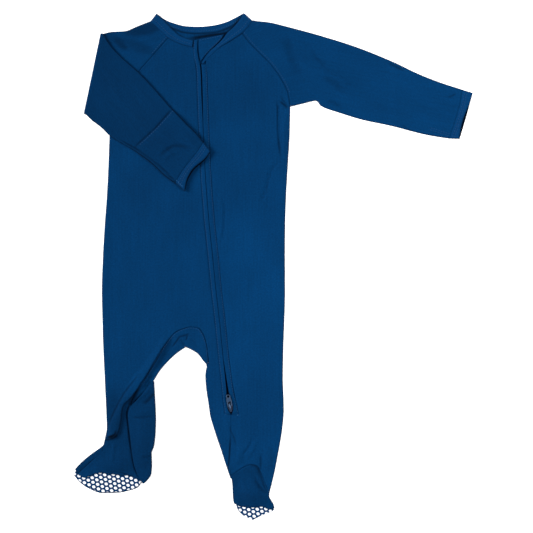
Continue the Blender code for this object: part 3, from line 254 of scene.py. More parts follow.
# Crown of the laid cloth: centre x, half width, height; full from y to y, gone at y and y
Crown = namedtuple("Crown", "x half height gone_above full_above full_below gone_below")
CROWNS = (Crown(-96, 106, 1.8, 272, 215, -60, -140),
          Crown(-35, 46, 1.8, -60, -140, -230, -262),
          Crown(-182, 30, 1, -60, -110, -150, -200))
# Sleeve and foot crowns: centre x, y; half length, half width; turned from X; height
Dome = namedtuple("Dome", "x y long wide turn height")
DOMES = (Dome(130, 232, 130, 42, -17, 1.4),
         Dome(-27, -283, 27, 20, 0, 5),
         Dome(-196, -246, 48, 20, 22, 3))
FOREARM_DOME = Dome(-165, 188, 88, 34, -45, 1.2)
TURNED_LEG_DOME = Dome(-163, -212, 52, 15, -88, 2.2)

# Folds: height; half width on the right and on the left of its line, negative where the fold
# comes to a sharp line; the line's points; how much painted shade darkens the cloth along it,
# how widely
Fold = namedtuple("Fold", "height right left line dark wide", defaults=(0.0, 1.7))
FOLDS = (
    Fold(2.6, 6, 13, ((-132, -86), (-155, -121), (-172, -142), (-181, -156), (-193.6, -178),
         (-199.8, -193), (-201.8, -203), (-201, -222))),
    Fold(2.4, 11, -2.2, ((-124, -84), (-142, -110), (-155, -133), (-166.2, -150.4), (-177.5, -164),
         (-187.6, -175.4), (-190.2, -193.1), (-193.5, -206.9), (-198.9, -214), (-208, -216.3),
         (-226, -217)), 0.55),
    Fold(1.4, 8, 10, ((14, 186), (13.5, 160), (10, 132))),
    Fold(1.3, 7, 7, ((-38, -222), (-42, -236), (-46, -250))),
    Fold(1.4, 7, 8, ((-8, -222), (-6, -240), (-4, -256))))

# Mesh cells across the pieces
LEG_CELLS, STRIP_CELLS, LEFT_CELLS, BACK_CELLS = 66, 20, 84, 34
GUSSET_CELLS, TURNED_LEG_CELLS = 23, 14
VAMP_CELLS_RIGHT, VAMP_CELLS_LEFT, SOLE_CELLS, CUFF_CELLS = 8, 30, 22, 30
MITTEN_CELLS_RIGHT, MITTEN_CELLS_LEFT, BAND_CELLS, GUARD_CELLS, FACING_CELLS = 40, 30, 8, 12, 8
LEG_ROWS = 1.2             # how much closer the rows of the legs stand
CROTCH_SHARE = 0.775       # where the crotch's top stands across the right front
SLEEVE_CELLS = (12, 60)    # along the neck edge, along the raglan seam
BAND_CROWN = 0.5           # how much the neck binding bulges
# The left binding flattens under the guard over this distance, to a height, and its shade fades
BAND_FLATTENS, BAND_LEFT_OVER, BAND_FADE = (48, 70), 0.1, 0.75

# Creases, in the columns of FOLDS: troughs are below 0
CREASES = (
    # left armpit and side
    Fold(-1.8, 2.2, 5.5, ((4, 210), (6.6, 196), (6.8, 170.6), (8, 150), (10.5, 134)), 0.45, 2.2),
    Fold(-1, -2.5, -2.5, ((7, 207), (12, 204), (20, 196.6)), 0.55, 2.2),
    Fold(-0.9, 2.5, 2.5, ((9, 214), (16, 204), (21, 198)), 0.3, 1.8),
    Fold(0.9, 3, 3, ((16, 197), (15, 180), (14, 160))),
    Fold(-1.3, 5, 2, ((10, 137), (4.5, 128), (-1.6, 120.6), (-6, 105), (-9.5, 93), (-17.1, 76.9)),
         0.2),
    # beside the zip
    Fold(-0.6, 2, 3, ((-64.1, 91.9), (-60, 66.9), (-62.5, 36.9), (-66.3, 24.4))),
    Fold(0.7, 3, 4, ((-67, 91.9), (-64.5, 66.9), (-66.5, 38), (-70, 27))),
    Fold(-0.5, 2, 2, ((-70.4, 24), (-69.5, 12), (-68.7, -0.6))),
    # right side
    Fold(-0.6, 2.5, 2.5, ((-210, 23), (-203, 16), (-195.4, 10.6))),
    Fold(0.5, 4, 4, ((-206, 26), (-199, 19), (-190, 13.6))),
    # right shoulder
    Fold(1.1, 4, -4, ((-204, 293), (-190, 291.6), (-172.5, 289.8), (-150, 286.5), (-130, 283.5))),
    Fold(-0.8, 3, 3, ((-196, 300), (-180, 295.4), (-160, 292), (-140, 292))),
    Fold(-0.7, 4, 4, ((-204, 290), (-190, 281), (-172, 268))),
    # left sleeve
    Fold(-1.2, 9, 9, ((17, 292), (22, 268), (30, 249), (38, 238)), 0.15, 9),
    Fold(-0.7, 4, 5, ((46, 274), (54, 263), (61, 255), (68.8, 246)), 0.12, 5),
    Fold(1, 8, 6, ((52, 252), (62, 246.6), (80, 236), (102, 220.6))),
    Fold(-0.9, 6, 6, ((60, 239), (72, 232.6), (84, 224), (92, 217)), 0.14, 6.5),
    Fold(-0.9, 4, 4, ((66, 208), (77, 204.6), (88, 198.6)), 0.2, 3),
    Fold(-0.8, 3, 4, ((142, 256), (154, 250), (166, 243.6)), 0.4, 2.6),
    Fold(-0.5, 2, 2, ((160, 178), (168, 172.6), (176, 168.4)), 0.3, 1.8),
    Fold(-0.6, 3, 3, ((217, 212), (223, 213), (230, 217.3)), 0.35, 1.9),
    # gusset
    Fold(-0.9, -2.6, -2.6, ((-119.5, -87), (-115.8, -87.4), (-109, -85.8), (-105.5, -85.5)), 0.7,
         1.5),
    Fold(-0.8, -2.2, -2.2, ((-106, -82), (-107.6, -88), (-109.4, -94)), 0.65, 1.5),
    Fold(-0.9, -2.4, -2.4, ((-115, -86), (-119, -91), (-124.5, -98.6), (-127, -101)), 0.65, 1.5),
    Fold(-0.7, -2.2, -2.2, ((-117, -89), (-114.4, -93), (-110, -100.4)), 0.55, 1.4),
    Fold(0.8, 3, 3, ((-121, -91.5), (-117, -98), (-113, -104))),
    Fold(-0.5, -3, -3, ((-104, -88), (-98, -95), (-93, -104)), 0.15),
    # crease of the shin beside the turned back
    Fold(-1.2, -3, -3, ((-172, -160), (-178.6, -171), (-182.6, -183), (-181.4, -197), (-179, -218),
         (-176.8, -236), (-173.2, -249.4), (-168, -262), (-166, -268)), 0.6),
    # right leg, left of its roll
    Fold(-0.9, -2.4, -3.4, ((-166, -132), (-175, -144), (-184.6, -156), (-197, -178.1),
         (-203.6, -193.1), (-206.6, -203)), 0.42, 1.9),
    Fold(-1, -2.6, -3, ((-194, -203), (-198.6, -210.6), (-204, -213), (-210, -214)), 0.75, 2.6),
    # right foot
    Fold(0.9, 2.5, 4, ((-199.6, -218.6), (-200.5, -232), (-201.6, -247.6))),
    Fold(-0.7, 2, 2, ((-203.6, -241.9), (-190, -243), (-174.6, -248.1))),
    # left leg
    Fold(-1, -3, -3, ((-53.4, -196), (-53.2, -204), (-49.5, -212), (-45, -226)), 0.35),
    Fold(-1, -2.5, -3.5, ((-53, -208), (-53.8, -222.5), (-54.8, -239.4), (-56.4, -254.4),
         (-57.4, -270)), 0.6, 1.6),
    Fold(-0.8, 3, 3, ((-24, -246), (-17, -258), (-12, -272), (-6.4, -286)), 0.4),
    Fold(-0.9, 2.5, 3, ((-24, -211), (-30, -226), (-39, -238))),
    Fold(0.9, 4, 4, ((-19, -214), (-25, -228), (-33, -241))),
    Fold(-1, 2.5, 3, ((-15.5, -234), (-15, -246), (-15.5, -256.4)), 0.3, 2),
    Fold(-0.8, -2.4, -2.4, ((-31, -248.2), (-21.6, -249.4), (-17.4, -255.2), (-13.6, -263)), 0.5,
         2.2),
    Fold(-0.7, 3, 3, ((-24, -262), (-19.4, -271.3), (-13, -279), (-7.1, -285.3)), 0.3, 2.4),
    Fold(-1.4, 3, 5, ((-35, -252.4), (-23, -266), (-11, -286))),
    Fold(1.2, 6, 3, ((-41, -262), (-34, -276), (-22, -290))))
LEG_BACK_FOLDS = (
    Fold(-1.2, 4, 4, ((-146, -156), (-152, -163), (-158, -169), (-165, -171.6)), 0.5, 3.2),
    Fold(1.4, 3.5, 5, ((-147, -146), (-158, -156), (-168, -165), (-177, -175))),
    Fold(-0.9, -3, -3, ((-178, -188.5), (-170, -188.9), (-158, -188.2), (-148, -187)), 0.35),
    Fold(0.8, 4, 4, ((-174, -183.5), (-162, -182), (-150.7, -178.4))),
    Fold(-0.8, -3, -3, ((-149, -233), (-156, -237.5), (-166, -239.6)), 0.3),
    Fold(-0.7, -3, -3, ((-150.6, -236), (-157, -246), (-160.6, -254)), 0.2),
    Fold(0.7, 3, 3, ((-150.6, -231), (-158, -233.6), (-168, -235.6))))
FOREARM_CREASES = (
    # inner edge of the strip along the underarm, and of the mitten layer
    Fold(-1, -1.8, -4, ((-196, 161), (-182.5, 153.6), (-168, 145.6), (-148.6, 131.6),
         (-131.4, 115.8), (-119, 102.8), (-110, 93)), 0.6, 1.2),
    Fold(0.7, 1.8, 1.8, ((-197, 158), (-184, 151), (-169.5, 143.2), (-150, 129.3), (-133, 113.6),
         (-120.8, 100.8))),
    Fold(-1, -1.6, -4, ((-121, 200), (-125.6, 196.4), (-147, 173), (-169, 152.6), (-176, 145.4)),
         0.6, 1.4),
    Fold(-1, 4, 3, ((-144, 135), (-131.5, 146.1), (-120.4, 150.6), (-109.3, 149.5), (-97, 146)),
         0.3, 3.4),
    Fold(1, 4, 4, ((-140, 130), (-128, 140), (-117, 144), (-104, 142))),
    Fold(-0.6, 4, 4, ((-206, 196), (-196, 184), (-186, 176))),
    Fold(0.6, 8, 8, ((-200, 240), (-196, 220), (-188, 200))))

# Painted shadows, darker areas where shade falls: centre x, y; half length, half width; turned from
# X; how much darker
PAINTED_SHADOWS = (Dome(-190, -216, 62, 62, 0, 0.26),
         Dome(-160, 297, 28, 8, 12, 0.36),
         Dome(-191, 279.5, 12, 5.5, -45, 0.4),
         Dome(-174.6, -163.5, 13, 3.4, 57, 0.55),
         Dome(-190, -197, 26, 9, 76, 0.34),
         Dome(-44.9, -183.6, 2.8, 2.4, 0, 0.3),
         Dome(-200, -212.4, 7, 2.9, 12, 0.7),
         Dome(-95, 225, 110, 52, 0, 0.09),
         Dome(-150, 90, 60, 45, 0, 0.05),
         Dome(-172, 276, 32, 7, -20, 0.2),
         Dome(-155, -164, 12, 7, 30, 0.3))
# Painted light, lighter areas where more light falls, in the same columns
PAINTED_LIGHT = (Dome(-30, -40, 110, 44, 90, 0.11),
           Dome(-64, -40, 50, 6, 97, 0.14))
# Painted shadow on the inside of the neck: by the guard's top, the left and the back band, and in
# its middle
NECK_SHADE = (
    Fold(0, 1, 1, ((-110, 284), (-92.5, 287), (-77.5, 289.4), (-61, 291.4), (-40, 296)), 0.85, 4.2),
    Fold(0, 1, 1, ((-36, 318), (-42, 309), (-52.4, 295.6), (-60, 288.4), (-72, 277)), 0.9, 4.4),
    Fold(0, 1, 1, ((-150, 306), (-121.5, 296.4), (-112.5, 293.2), (-97.5, 291.6), (-72.5, 293),
         (-58, 297.6), (-40, 308)), 0.6, 2.2),
    Fold(0, 1, 1, ((-128, 294), (-117, 287), (-106, 282), (-94, 281)), 0.6, 4))

FADE_SHARE, FADE_LENGTH = 0.3, 16.0        # a fold fades over this share of it, at most so far
PATCH_GONE, PATCH_FULL = 1.25, 0.6         # where a dark area ends and is full, as shares of it
WAVE_BROAD, WAVE_FINE = 0.16, 0.05         # unevenness of the laid cloth
TURNED_AWAY = 99           # moves a turned edge out of a seam's reach

# Seams: groove, ridge of the allowance beside it, and painted shade in the groove; faint ones have
# less
SEAM_FAINT = 0.4
SEAM_DEPTH, SEAM_HALF, SEAM_RIDGE, SEAM_RIDGE_AT = 0.7, 1.4, 0.3, 2.4
SEAM_SHADE, SEAM_LINE = 0.5, 1.1
END_STEPS = (0.1, 0.25, 0.5)
TUCK = 1.4                 # how far bands lap over their seams
FOOT_TUCK = 1.2            # how far a foot's top sinks at the leg's seam
FOOT_LAPS = (0.8, 1.8)     # how far the right and the left foot's top lap under the leg
FOOT_SINKS = ((4.0, 0.5), (2.6, 0.4))      # how far from the seam they sink
GUSSET_LAP = 2.4           # how far the gusset reaches under the left leg
GUSSET_TURNED = (-151, -146)               # its edge starts to turn down between these x
GUSSET_SEAM_STEPS = (0.8, 0.4, 0.0)
EDGE_LAP, MITTEN_LAP = 1.6, 0.4            # edges that run on past their neighbour's
# Cuffs' mouths: how far the upper sheet is drawn back, where and how widely across, which way
MOUTH_RIGHT_OPEN = (1.6, (0.5, 0.62), (0.72, -0.69))
MOUTH_LEFT_OPEN = (3.2, (0.4, 0.42), (0.96, -0.27))
# Painted shadow on the lower sheet inside a cuff's mouth
MOUTH_SHADE = 0.85

# Painted shade where the knit lies turned away from the light: the folded sleeve, the twisted leg,
# the left foot, and a little on the cuffs
SHADE_TURNED, SHADE_FOOT, SHADE_CUFF = 0.26, 0.2, 0.1

# Cloth, print and threads, in mm
# Painted shade along turned edges: how far in it reaches, how dark it is at the edge
RIM, RIM_SHADE = 2.0, 0.55
JERSEY_PITCH, RIB_PITCH = 0.8, 1.4
# Streaks, clouds and flecks: how many to a metre, their detail, how strong they are
KNIT_NOISES = (((520, 18, 1), 2.0, 0.16), ((24, 15, 1), 3.0, 0.2), ((480, 480, 1), 3.0, 0.36))
# The loops' shade is painted shade, darker in the knit's hollows
COURSE_SHARE, LOOP_SHARE, KNIT_SHADE = 0.8, 0.3, (0.08, 0.94)  # loops' length, height; their shade
PRINT_TURN, PRINT_STEP, PRINT_ROW, PRINT_HALF = 24.0, 6.4, 4.8, (0.34, 0.365)
PRINT_ROUND, PRINT_GONE, PRINT_FULL, PRINT_BORDER = 1.7, 1.15, 0.85, 0.12

# Stitches and zip teeth, in mm: rounded bars
STITCH_PITCH, STITCH_HALF, STITCH_RADIUS = 3.2, 1.2, 0.3
STITCH_SINK, STITCH_RISE, STITCH_STEP = 0.15, 0.06, 1.2    # no stitch spans a higher step
ZIP_STITCH_IN, GUSSET_STITCH_IN = 0.9, 1.9                 # how far in from the edge
TOOTH_PITCH, TOOTH_HALF, TOOTH_RADIUS, TOOTH_Z, TEETH_END = 1.5, 1.7, 0.4, 2.05, -164.0
BAR_SIDES, BAR_STOPS, BAR_TIP = 6, (-1.0, -0.85, -0.45, 0.0, 0.45, 0.85, 1.0), 0.01
STITCH_FLAT, TOOTH_FLAT = 0.7, 0.8         # their height, as a share of their width
# Rows of stitches: how far across the binding or the cuff; points of the others; which are pale
NECK_STITCH_AT, CUFF_STITCH_AT = 0.3, (0.2, 0.42)
BOX_STITCHES = ((-8.4, -0.9), (9.6, -1.4))
GUARD_STITCHES = (((-92.4, 283), (-64, 288.6)),
                  ((-63.6, 288), (-67.4, 283), (-77.2, 273), (-84.8, 265.4)))
ZIP_END_STITCH = (((-45.6, -186.6), (-42.6, -184.4)),)
CUFF_END_STITCHES = (((-124.4, 105.4), (-112.4, 94.6)), ((-121.4, 108.6), (-112.2, 99.4)))
SLEEVE_END_STITCHES = (((196, 170.8), (219.6, 163.4)), ((196.8, 173.4), (220.4, 166)))
PALE_STITCHES = ("zip_end_stitch", "cuff_end_stitches")

# Camera and light, in metres
CAMERA_X, CAMERA_HEIGHT, FOCUS_HEIGHT, FRAME_WIDTH = -0.008125, 2.0, 0.004, 0.66625
AMBIENT, FLOOR_GLOW, FLOOR_HALF, FLOOR_DROP = 0.22, 0.45, 3.0, 0.0004
LAMPS = (("low_left_softbox", (-6.0, 1.4, 4.0), (3.0, 3.0), 860),
         ("high_right_softbox", (0.8, -0.05, 0.85), (0.6, 0.6), 15.5))

NAVY = (0.0002, 0.0252, 0.0865)
# The zip tape's navy is darkened almost to black, painted shade for the deep slit between the
# facings; the coil has it too.
NAVY_RIB, SHADOWED_TAPE = (0.0006, 0.0262, 0.09), (0.0001, 0.0008, 0.0035)
THREAD, PALE_THREAD = (0.0008, 0.03, 0.1), (0.008, 0.075, 0.2)
WHITE_PRINT, SHADED_ZIP_BLUE = (0.8, 0.82, 0.86), (0.001, 0.009, 0.035)
# The zip's blue paint twice over: darker on the line above for the slider's sunken plate, painted
# shade; lighter here for the pull tab and the crown, painted light.
LIT_ZIP_BLUE = (0.03, 0.065, 0.13)

# ---- Curves and sections -------------------------------------------------------------------

def smooth(rows, per_span):
    """Rows of points on smooth curves through the given rows, which don't overshoot them."""
    rows = np.asarray(rows, float)
    gaps = np.linalg.norm(np.diff(rows[..., :2], axis=0), axis=2).mean(axis=1)
    slopes = np.diff(rows, axis=0) / gaps[:, None, None]
    tangents = np.concatenate((slopes[:1], slopes[:-1] * 0, slopes[-1:]))
    same_way = slopes[:-1] * slopes[1:] > 0
    low, high = np.where(same_way, slopes[:-1], 1), np.where(same_way, slopes[1:], 1)
    early = gaps[:-1, None, None] + 2 * gaps[1:, None, None]
    late = 2 * gaps[:-1, None, None] + gaps[1:, None, None]
    tangents[1:-1] = np.where(same_way, (early + late) / (early / low + late / high), 0)
    out = [rows[:1]]
    for i, cells in enumerate(per_span(gap) for gap in gaps):
        t = np.linspace(0, 1, cells + 1)[1:, None, None]
        pull_in = tangents[i] * gaps[i] * t * (1 - t) ** 2
        pull_out = tangents[i + 1] * gaps[i] * t * t * (1 - t)
        ease = t * t * (3 - 2 * t)
        out.append(rows[i] * (1 - ease) + rows[i + 1] * ease + pull_in - pull_out)
    return np.concatenate(out)


def by_length(gap):
    """Cells in a span, about CELL long."""
    return max(1, round(gap / CELL))


def curve(points, cells):
    """A smooth line through points, with a number of cells to each span."""
    return smooth(np.array(points, float)[:, None, :], lambda gap: cells)[:, 0]


def run_along(line):
    """Distance of each point of a line from its first one."""
    return np.concatenate(([0.0], np.cumsum(np.linalg.norm(np.diff(line, axis=0), axis=1))))


def along(points, distances_of):
    """Points of a section at chosen distances along the smooth curve through its points."""
    fine = curve(points, 12)
    run = run_along(fine)
    at = distances_of(run[-1])
    place = np.column_stack([np.interp(at, run, fine[:, axis]) for axis in (0, 1)])
    for beyond, end, inner in ((np.minimum(at, 0), 0, 1), (np.minimum(run[-1] - at, 0), -1, -2)):
        way = (fine[inner] - fine[end]) / np.linalg.norm(fine[inner] - fine[end])
        place += beyond[:, None] * way
    return np.column_stack((place, at, run[-1] - at))


def stops(cells, start=False, end=False, trim=(SEAM / 2, SEAM / 2)):
    """Distances along a section: close together where its start or end edge turns down."""
    def distances(length):
        reach = min(EDGE_ROUND, length / 5)
        low = [trim[0] + reach * step for step in (EDGE_STEPS if start else (0.0,))]
        high = [length - trim[1] - reach * step for step in (EDGE_STEPS if end else (0.0,))]
        inner = np.linspace(low[-1], high[-1], cells + 1)[1:-1]
        return np.array([*low, *inner, *reversed(high)])
    return distances


def loft(sections, distances_of, turned=None, per_span=by_length):
    """Grid through sections: x, y, distances to both edges, how far each edge is turned."""
    rows = [along(points, distances_of) for points in sections]
    turned = [(0, 0)] * len(rows) if turned is None else turned
    rows = [np.column_stack((row, np.tile(turn, (len(row), 1)))) for row, turn in zip(rows, turned)]
    return smooth(rows, per_span)


def pull_back(grid, start=SEAM / 2, end=SEAM / 2):
    """The grid with its first and last row moved in, for the seams there."""
    grid = grid.copy()
    for edge, inner, gap in ((0, 1, start), (-1, -2, end)):
        step = grid[inner, :, :2] - grid[edge, :, :2]
        length = np.maximum(np.linalg.norm(step, axis=1, keepdims=True), 2 * gap)
        grid[edge, :, :2] += step * gap / length
    return grid


def pairs(table):
    """Sections of two points from rows of four numbers."""
    return [((row[0], row[1]), (row[2], row[3])) for row in table]


def zip_x(y):
    """Place of the zip's centre at a height."""
    path = np.array(ZIP_PATH)[::-1]
    return np.interp(y, path[:, 0], path[:, 1])


def facing(y, column):
    """How far a facing's edge stands from the zip's centre: 1 inner, 2 right, 3 left."""
    path = np.array(FACING_PATH)[::-1]
    return np.interp(y, path[:, 0], path[:, column])


def zip_edge(y, side):
    """Point of a front's edge beside the zip, or on the seam below the zip's end."""
    if y < ZIP_END - 1:
        return (zip_x(y), y)
    return (zip_x(y) - facing(y, 2), y) if side == "right" else (zip_x(y) + facing(y, 3), y)


# ---- Heights -------------------------------------------------------------------------------

def ramp(value, low, high):
    """0 at low, 1 at high, smooth between."""
    t = np.clip((value - low) / (high - low), 0, 1)
    return t * t * (3 - 2 * t)


def hump(distance):
    """1 at the middle, 0 from 1 outwards, smooth."""
    return np.cos(np.clip(np.abs(distance), 0, 1) * math.pi / 2) ** 2


def reach_in(x, y, oval):
    """0 at the middle of an oval area, 1 at its edge."""
    turn = math.radians(oval.turn)
    lengthwise = (x - oval.x) * math.cos(turn) + (y - oval.y) * math.sin(turn)
    across = (y - oval.y) * math.cos(turn) - (x - oval.x) * math.sin(turn)
    return np.hypot(lengthwise / oval.long, across / oval.wide)


def dome_lift(x, y, dome):
    """Soft rise of an oval area."""
    return dome.height * hump(reach_in(x, y, dome))


def crown_lift(x, y):
    """Soft crown of the laid cloth."""
    total = np.zeros(np.shape(x))
    for crown in CROWNS:
        length = ramp(y, crown.gone_above, crown.full_above) * ramp(y, crown.gone_below,
                                                                    crown.full_below)
        total = np.maximum(total, crown.height * hump((x - crown.x) / crown.half) * length)
    return total


def beside(x, y, fold, reach):
    """Distance to a fold's line, side of it (right is positive) and fading at its ends."""
    line = curve(fold.line, 4)
    lengths, starts = np.linalg.norm(np.diff(line, axis=0), axis=1), run_along(line)
    nearest = np.full(np.shape(x), np.inf)
    side, place = np.zeros(np.shape(x)), np.zeros(np.shape(x))
    for a, b, start, length in zip(line, line[1:], starts, lengths):
        near = np.hypot(x - (a[0] + b[0]) / 2, y - (a[1] + b[1]) / 2) < reach + length / 2
        dx, dy = (b - a) / length
        px, py = x[near] - a[0], y[near] - a[1]
        t = np.clip(px * dx + py * dy, 0, length)
        distance = np.hypot(px - t * dx, py - t * dy)
        closer = distance < nearest[near]
        for target, value in ((nearest, distance), (side, px * dy - py * dx), (place, start + t)):
            target[near] = np.where(closer, value, target[near])
    fade = min(FADE_SHARE * starts[-1], FADE_LENGTH)
    return nearest, side, ramp(place, 0, fade) * ramp(starts[-1] - place, 0, fade)


def creased(x, y, folds):
    """Height of soft ridges and troughs that follow lines and fade at their ends."""
    total = np.zeros(np.shape(x))
    for fold in folds:
        distance, side, fading = beside(x, y, fold, max(abs(fold.right), abs(fold.left)))
        width = np.where(side > 0, fold.right, fold.left)
        near = np.clip(1 - distance / np.abs(width), 0, 1)
        total += fold.height * np.where(width > 0, hump(1 - near), near ** 2) * fading
    return total


def crease_shade(x, y, folds):
    """Painted shade: darker lines in the depth of creases and along the other given lines."""
    total = np.zeros(np.shape(x))
    for fold in folds:
        if fold.dark:
            distance, _, fading = beside(x, y, fold, fold.wide)
            total = np.maximum(total, fold.dark * hump(distance / fold.wide) * fading)
    return total


def patches(x, y, table):
    """How much a table's soft areas of painted shadow or painted light change the cloth's tone."""
    total = np.zeros(np.shape(x))
    for patch in table:
        change = patch.height * ramp(reach_in(x, y, patch), PATCH_GONE, PATCH_FULL)
        total = np.maximum(total, change)
    return total


def painted_shading_at(x, y, least=0.0, folds=None):
    """How much darker the laid cloth is at a place: painted shadow patches and painted shade along
    lines, lessened by painted light; least is the smallest shade of the patches.
    """
    shaded = crease_shade(x, y, FOLDS + CREASES if folds is None else folds)
    toned = (1 - np.maximum(patches(x, y, PAINTED_SHADOWS), least)) * (1 - shaded)
    return 1 - toned * (1 + patches(x, y, PAINTED_LIGHT))


def waves(x, y):
    """Soft unevenness of cloth that was smoothed by hand."""
    broad = np.sin(x / 13.0 + 1.4 * np.sin(y / 37.0)) * np.sin(y / 21.0 + 0.8 * np.sin(x / 31.0))
    fine = np.sin(x / 5.3 + 1.7 * np.sin(y / 23.0)) * np.sin(y / 11.7 + 1.1)
    return WAVE_BROAD * broad + WAVE_FINE * fine


def lift(x, y):
    """Height of the laid front above its flat layer."""
    total = crown_lift(x, y) + creased(x, y, FOLDS + CREASES) + waves(x, y)
    for dome in DOMES:
        total = total + dome_lift(x, y, dome)
    return total


def under_lift(x, y):
    """Shallow creases of the back, where the front above leaves them room."""
    return 0.5 * crown_lift(x, y) * (0.5 + 0.5 * np.sin(x / 9.0 + 2.0 * np.sin(y / 40.0)))


def bed(x, y):
    """Surface that the folded sleeve lies on: the front, the zip facings, or nothing."""
    facings = (FACING_RISE + SEAM) * ramp(x, *BED_FACINGS)
    droop = BED_DROOP * ramp(x, *BED_SIDE) * ramp(y, *BED_END)
    return FRONT_TOP + SEAM + crown_lift(x, y) + facings - droop


def turned_down(grid, top):
    """Heights of a panel whose turned edges curve down towards the surface."""
    start, end, start_turned, end_turned = (grid[..., k] for k in (2, 3, 4, 5))
    z = top
    for distance, turned in ((start, start_turned), (end, end_turned)):
        q = np.clip((distance - SEAM / 2) / EDGE_ROUND, 0, 1)
        drop = 1 - np.sqrt(np.clip(1 - (1 - q) ** 2, 0, 1))
        z = z - np.clip(turned, 0, 1) * drop * (top - EDGE_FOOT)
    return z


def run_down(grid):
    """Distance of each point from the first row, along its column."""
    steps = np.linalg.norm(np.diff(grid[..., :2], axis=0), axis=2)
    return np.concatenate((np.zeros((1, grid.shape[1])), np.cumsum(steps, axis=0)))


def weave(grid):
    """Across and along coordinates in a piece whose grain follows its sections."""
    return np.dstack((grid[..., 2], run_down(grid)))


def finer_ends(grid):
    """The grid with more rows near its first and last row, for the seams there."""
    for _ in range(2):
        extra = [grid[0] * (1 - t) + grid[1] * t for t in END_STEPS]
        grid = np.concatenate((grid[:1], extra, grid[1:]))[::-1]
    return grid


def seam_mark(grid, seams, half, at=0.0):
    """1 where a point is at a distance from a seamed edge, 0 from half its width away.

    Seams are s and e for its sides, f and l for its first and last row, capitals if faint."""
    down = run_down(grid)
    edges = {"s": grid[..., 2] + TURNED_AWAY * grid[..., 4],
             "e": grid[..., 3] + TURNED_AWAY * grid[..., 5], "f": down, "l": down[-1] - down}
    mark = np.zeros(down.shape)
    for key in seams:
        strength = SEAM_FAINT if key.isupper() else 1.0
        mark = np.maximum(mark, strength * hump((edges[key.lower()] - at) / half))
    return mark


def seam_relief(grid, seams):
    """Groove along a seam, the ridge of its allowance beside it, and edges tucked under."""
    tucked = np.clip(-np.minimum(grid[..., 2], grid[..., 3]), 0, None)
    return (SEAM_RIDGE * seam_mark(grid, seams, 1.6, SEAM_RIDGE_AT) - np.minimum(tucked, 1.0) -
            SEAM_DEPTH * seam_mark(grid, seams, SEAM_HALF))


def surface(grid, z, cut=None, seams="", tone=0.0):
    """Points of a cloth surface: place, height, place in the cut cloth, painted shade of rim or
    seam, with the tone passed in, more painted shade or painted light, laid over it.
    """
    start, end = ((grid[..., k] - SEAM / 2) / RIM for k in (2, 3))
    rim = np.maximum(grid[..., 4] * (1 - start), grid[..., 5] * (1 - end))
    # painted shade along turned rims and in seam grooves
    shade = np.maximum(RIM_SHADE * np.clip(rim, 0, 1) ** 2,
                       SEAM_SHADE * seam_mark(grid, seams, SEAM_LINE))
    shade = 1 - (1 - shade) * (1 - tone)
    cut = grid[..., :2] if cut is None else cut
    z = z + seam_relief(grid, seams)
    return np.dstack((grid[..., :2], z, cut, shade))


# ---- Materials -----------------------------------------------------------------------------

def node(tree, kind, inputs=(), **settings):
    """A shader node with its settings; inputs are numbers, colours or other nodes' outputs."""
    made = tree.nodes.new("ShaderNode" + kind)
    for name, value in settings.items():
        setattr(made, name, value)
    for key, value in (inputs.items() if isinstance(inputs, dict) else enumerate(inputs)):
        if isinstance(value, bpy.types.NodeSocket):
            tree.links.new(value, made.inputs[key])
        else:
            made.inputs[key].default_value = value
    return made


def maths(tree, operation, *inputs):
    return node(tree, "Math", inputs, operation=operation).outputs[0]


def new_material(name, roughness, **shader_inputs):
    made = bpy.data.materials.new(name)
    made.use_nodes = True
    shader = made.node_tree.nodes["Principled BSDF"]
    shader.inputs["Roughness"].default_value = roughness
    for key, value in shader_inputs.items():
        shader.inputs[key.replace("_", " ")].default_value = value
    return made, made.node_tree, shader


def read(tree, attribute, output):
    """An output of a mesh attribute."""
    return node(tree, "Attribute", attribute_name=attribute).outputs[output]


def tint(tree, shader, value, colour):
    """Gives a shader its colour, lighter or darker by a factor."""
    tone = node(tree, "HueSaturation", {"Value": value, "Color": (*colour, 1)}).outputs[0]
    tree.links.new(tone, shader.inputs["Base Color"])


def roughen(tree, shader, height, strength):
    """Gives a shader a fine relief, up to 0.2 mm deep."""
    relief = node(tree, "Bump", {"Strength": strength, "Distance": 0.0002, "Height": height})
    tree.links.new(relief.outputs[0], shader.inputs["Normal"])


def noise(tree, place, scale, detail=2.0):
    """Soft noise of a coordinate stretched by scale, from 0 to 1."""
    stretched = node(tree, "VectorMath", (place, scale), operation="MULTIPLY").outputs[0]
    return node(tree, "TexNoise", {"Vector": stretched, "Scale": 1.0, "Detail": detail}).outputs[0]


def vary(tree, value, amount):
    """A factor around 1 from a noise value."""
    return maths(tree, "MULTIPLY_ADD", value, 2 * amount, 1 - amount)


def knit_height(tree, cut, pitch, ribbed):
    """Height of plain jersey: two slanted legs to a wale, loops along it."""
    parts = node(tree, "SeparateXYZ", (cut,))
    wale = maths(tree, "MULTIPLY", parts.outputs[0], 1000 / pitch)
    course = maths(tree, "MULTIPLY", parts.outputs[1], 1000 / (pitch * COURSE_SHARE))
    slant = maths(tree, "PINGPONG", wale, 0.5)
    turn = maths(tree, "MULTIPLY", maths(tree, "ADD", course, slant), 2 * math.pi)
    loops = maths(tree, "MULTIPLY", maths(tree, "SINE", turn), LOOP_SHARE)
    across = maths(tree, "MULTIPLY", wale, math.pi * (1 if ribbed else 2))
    legs = maths(tree, "ABSOLUTE", maths(tree, "SINE", across))
    return maths(tree, "ADD", legs, loops)


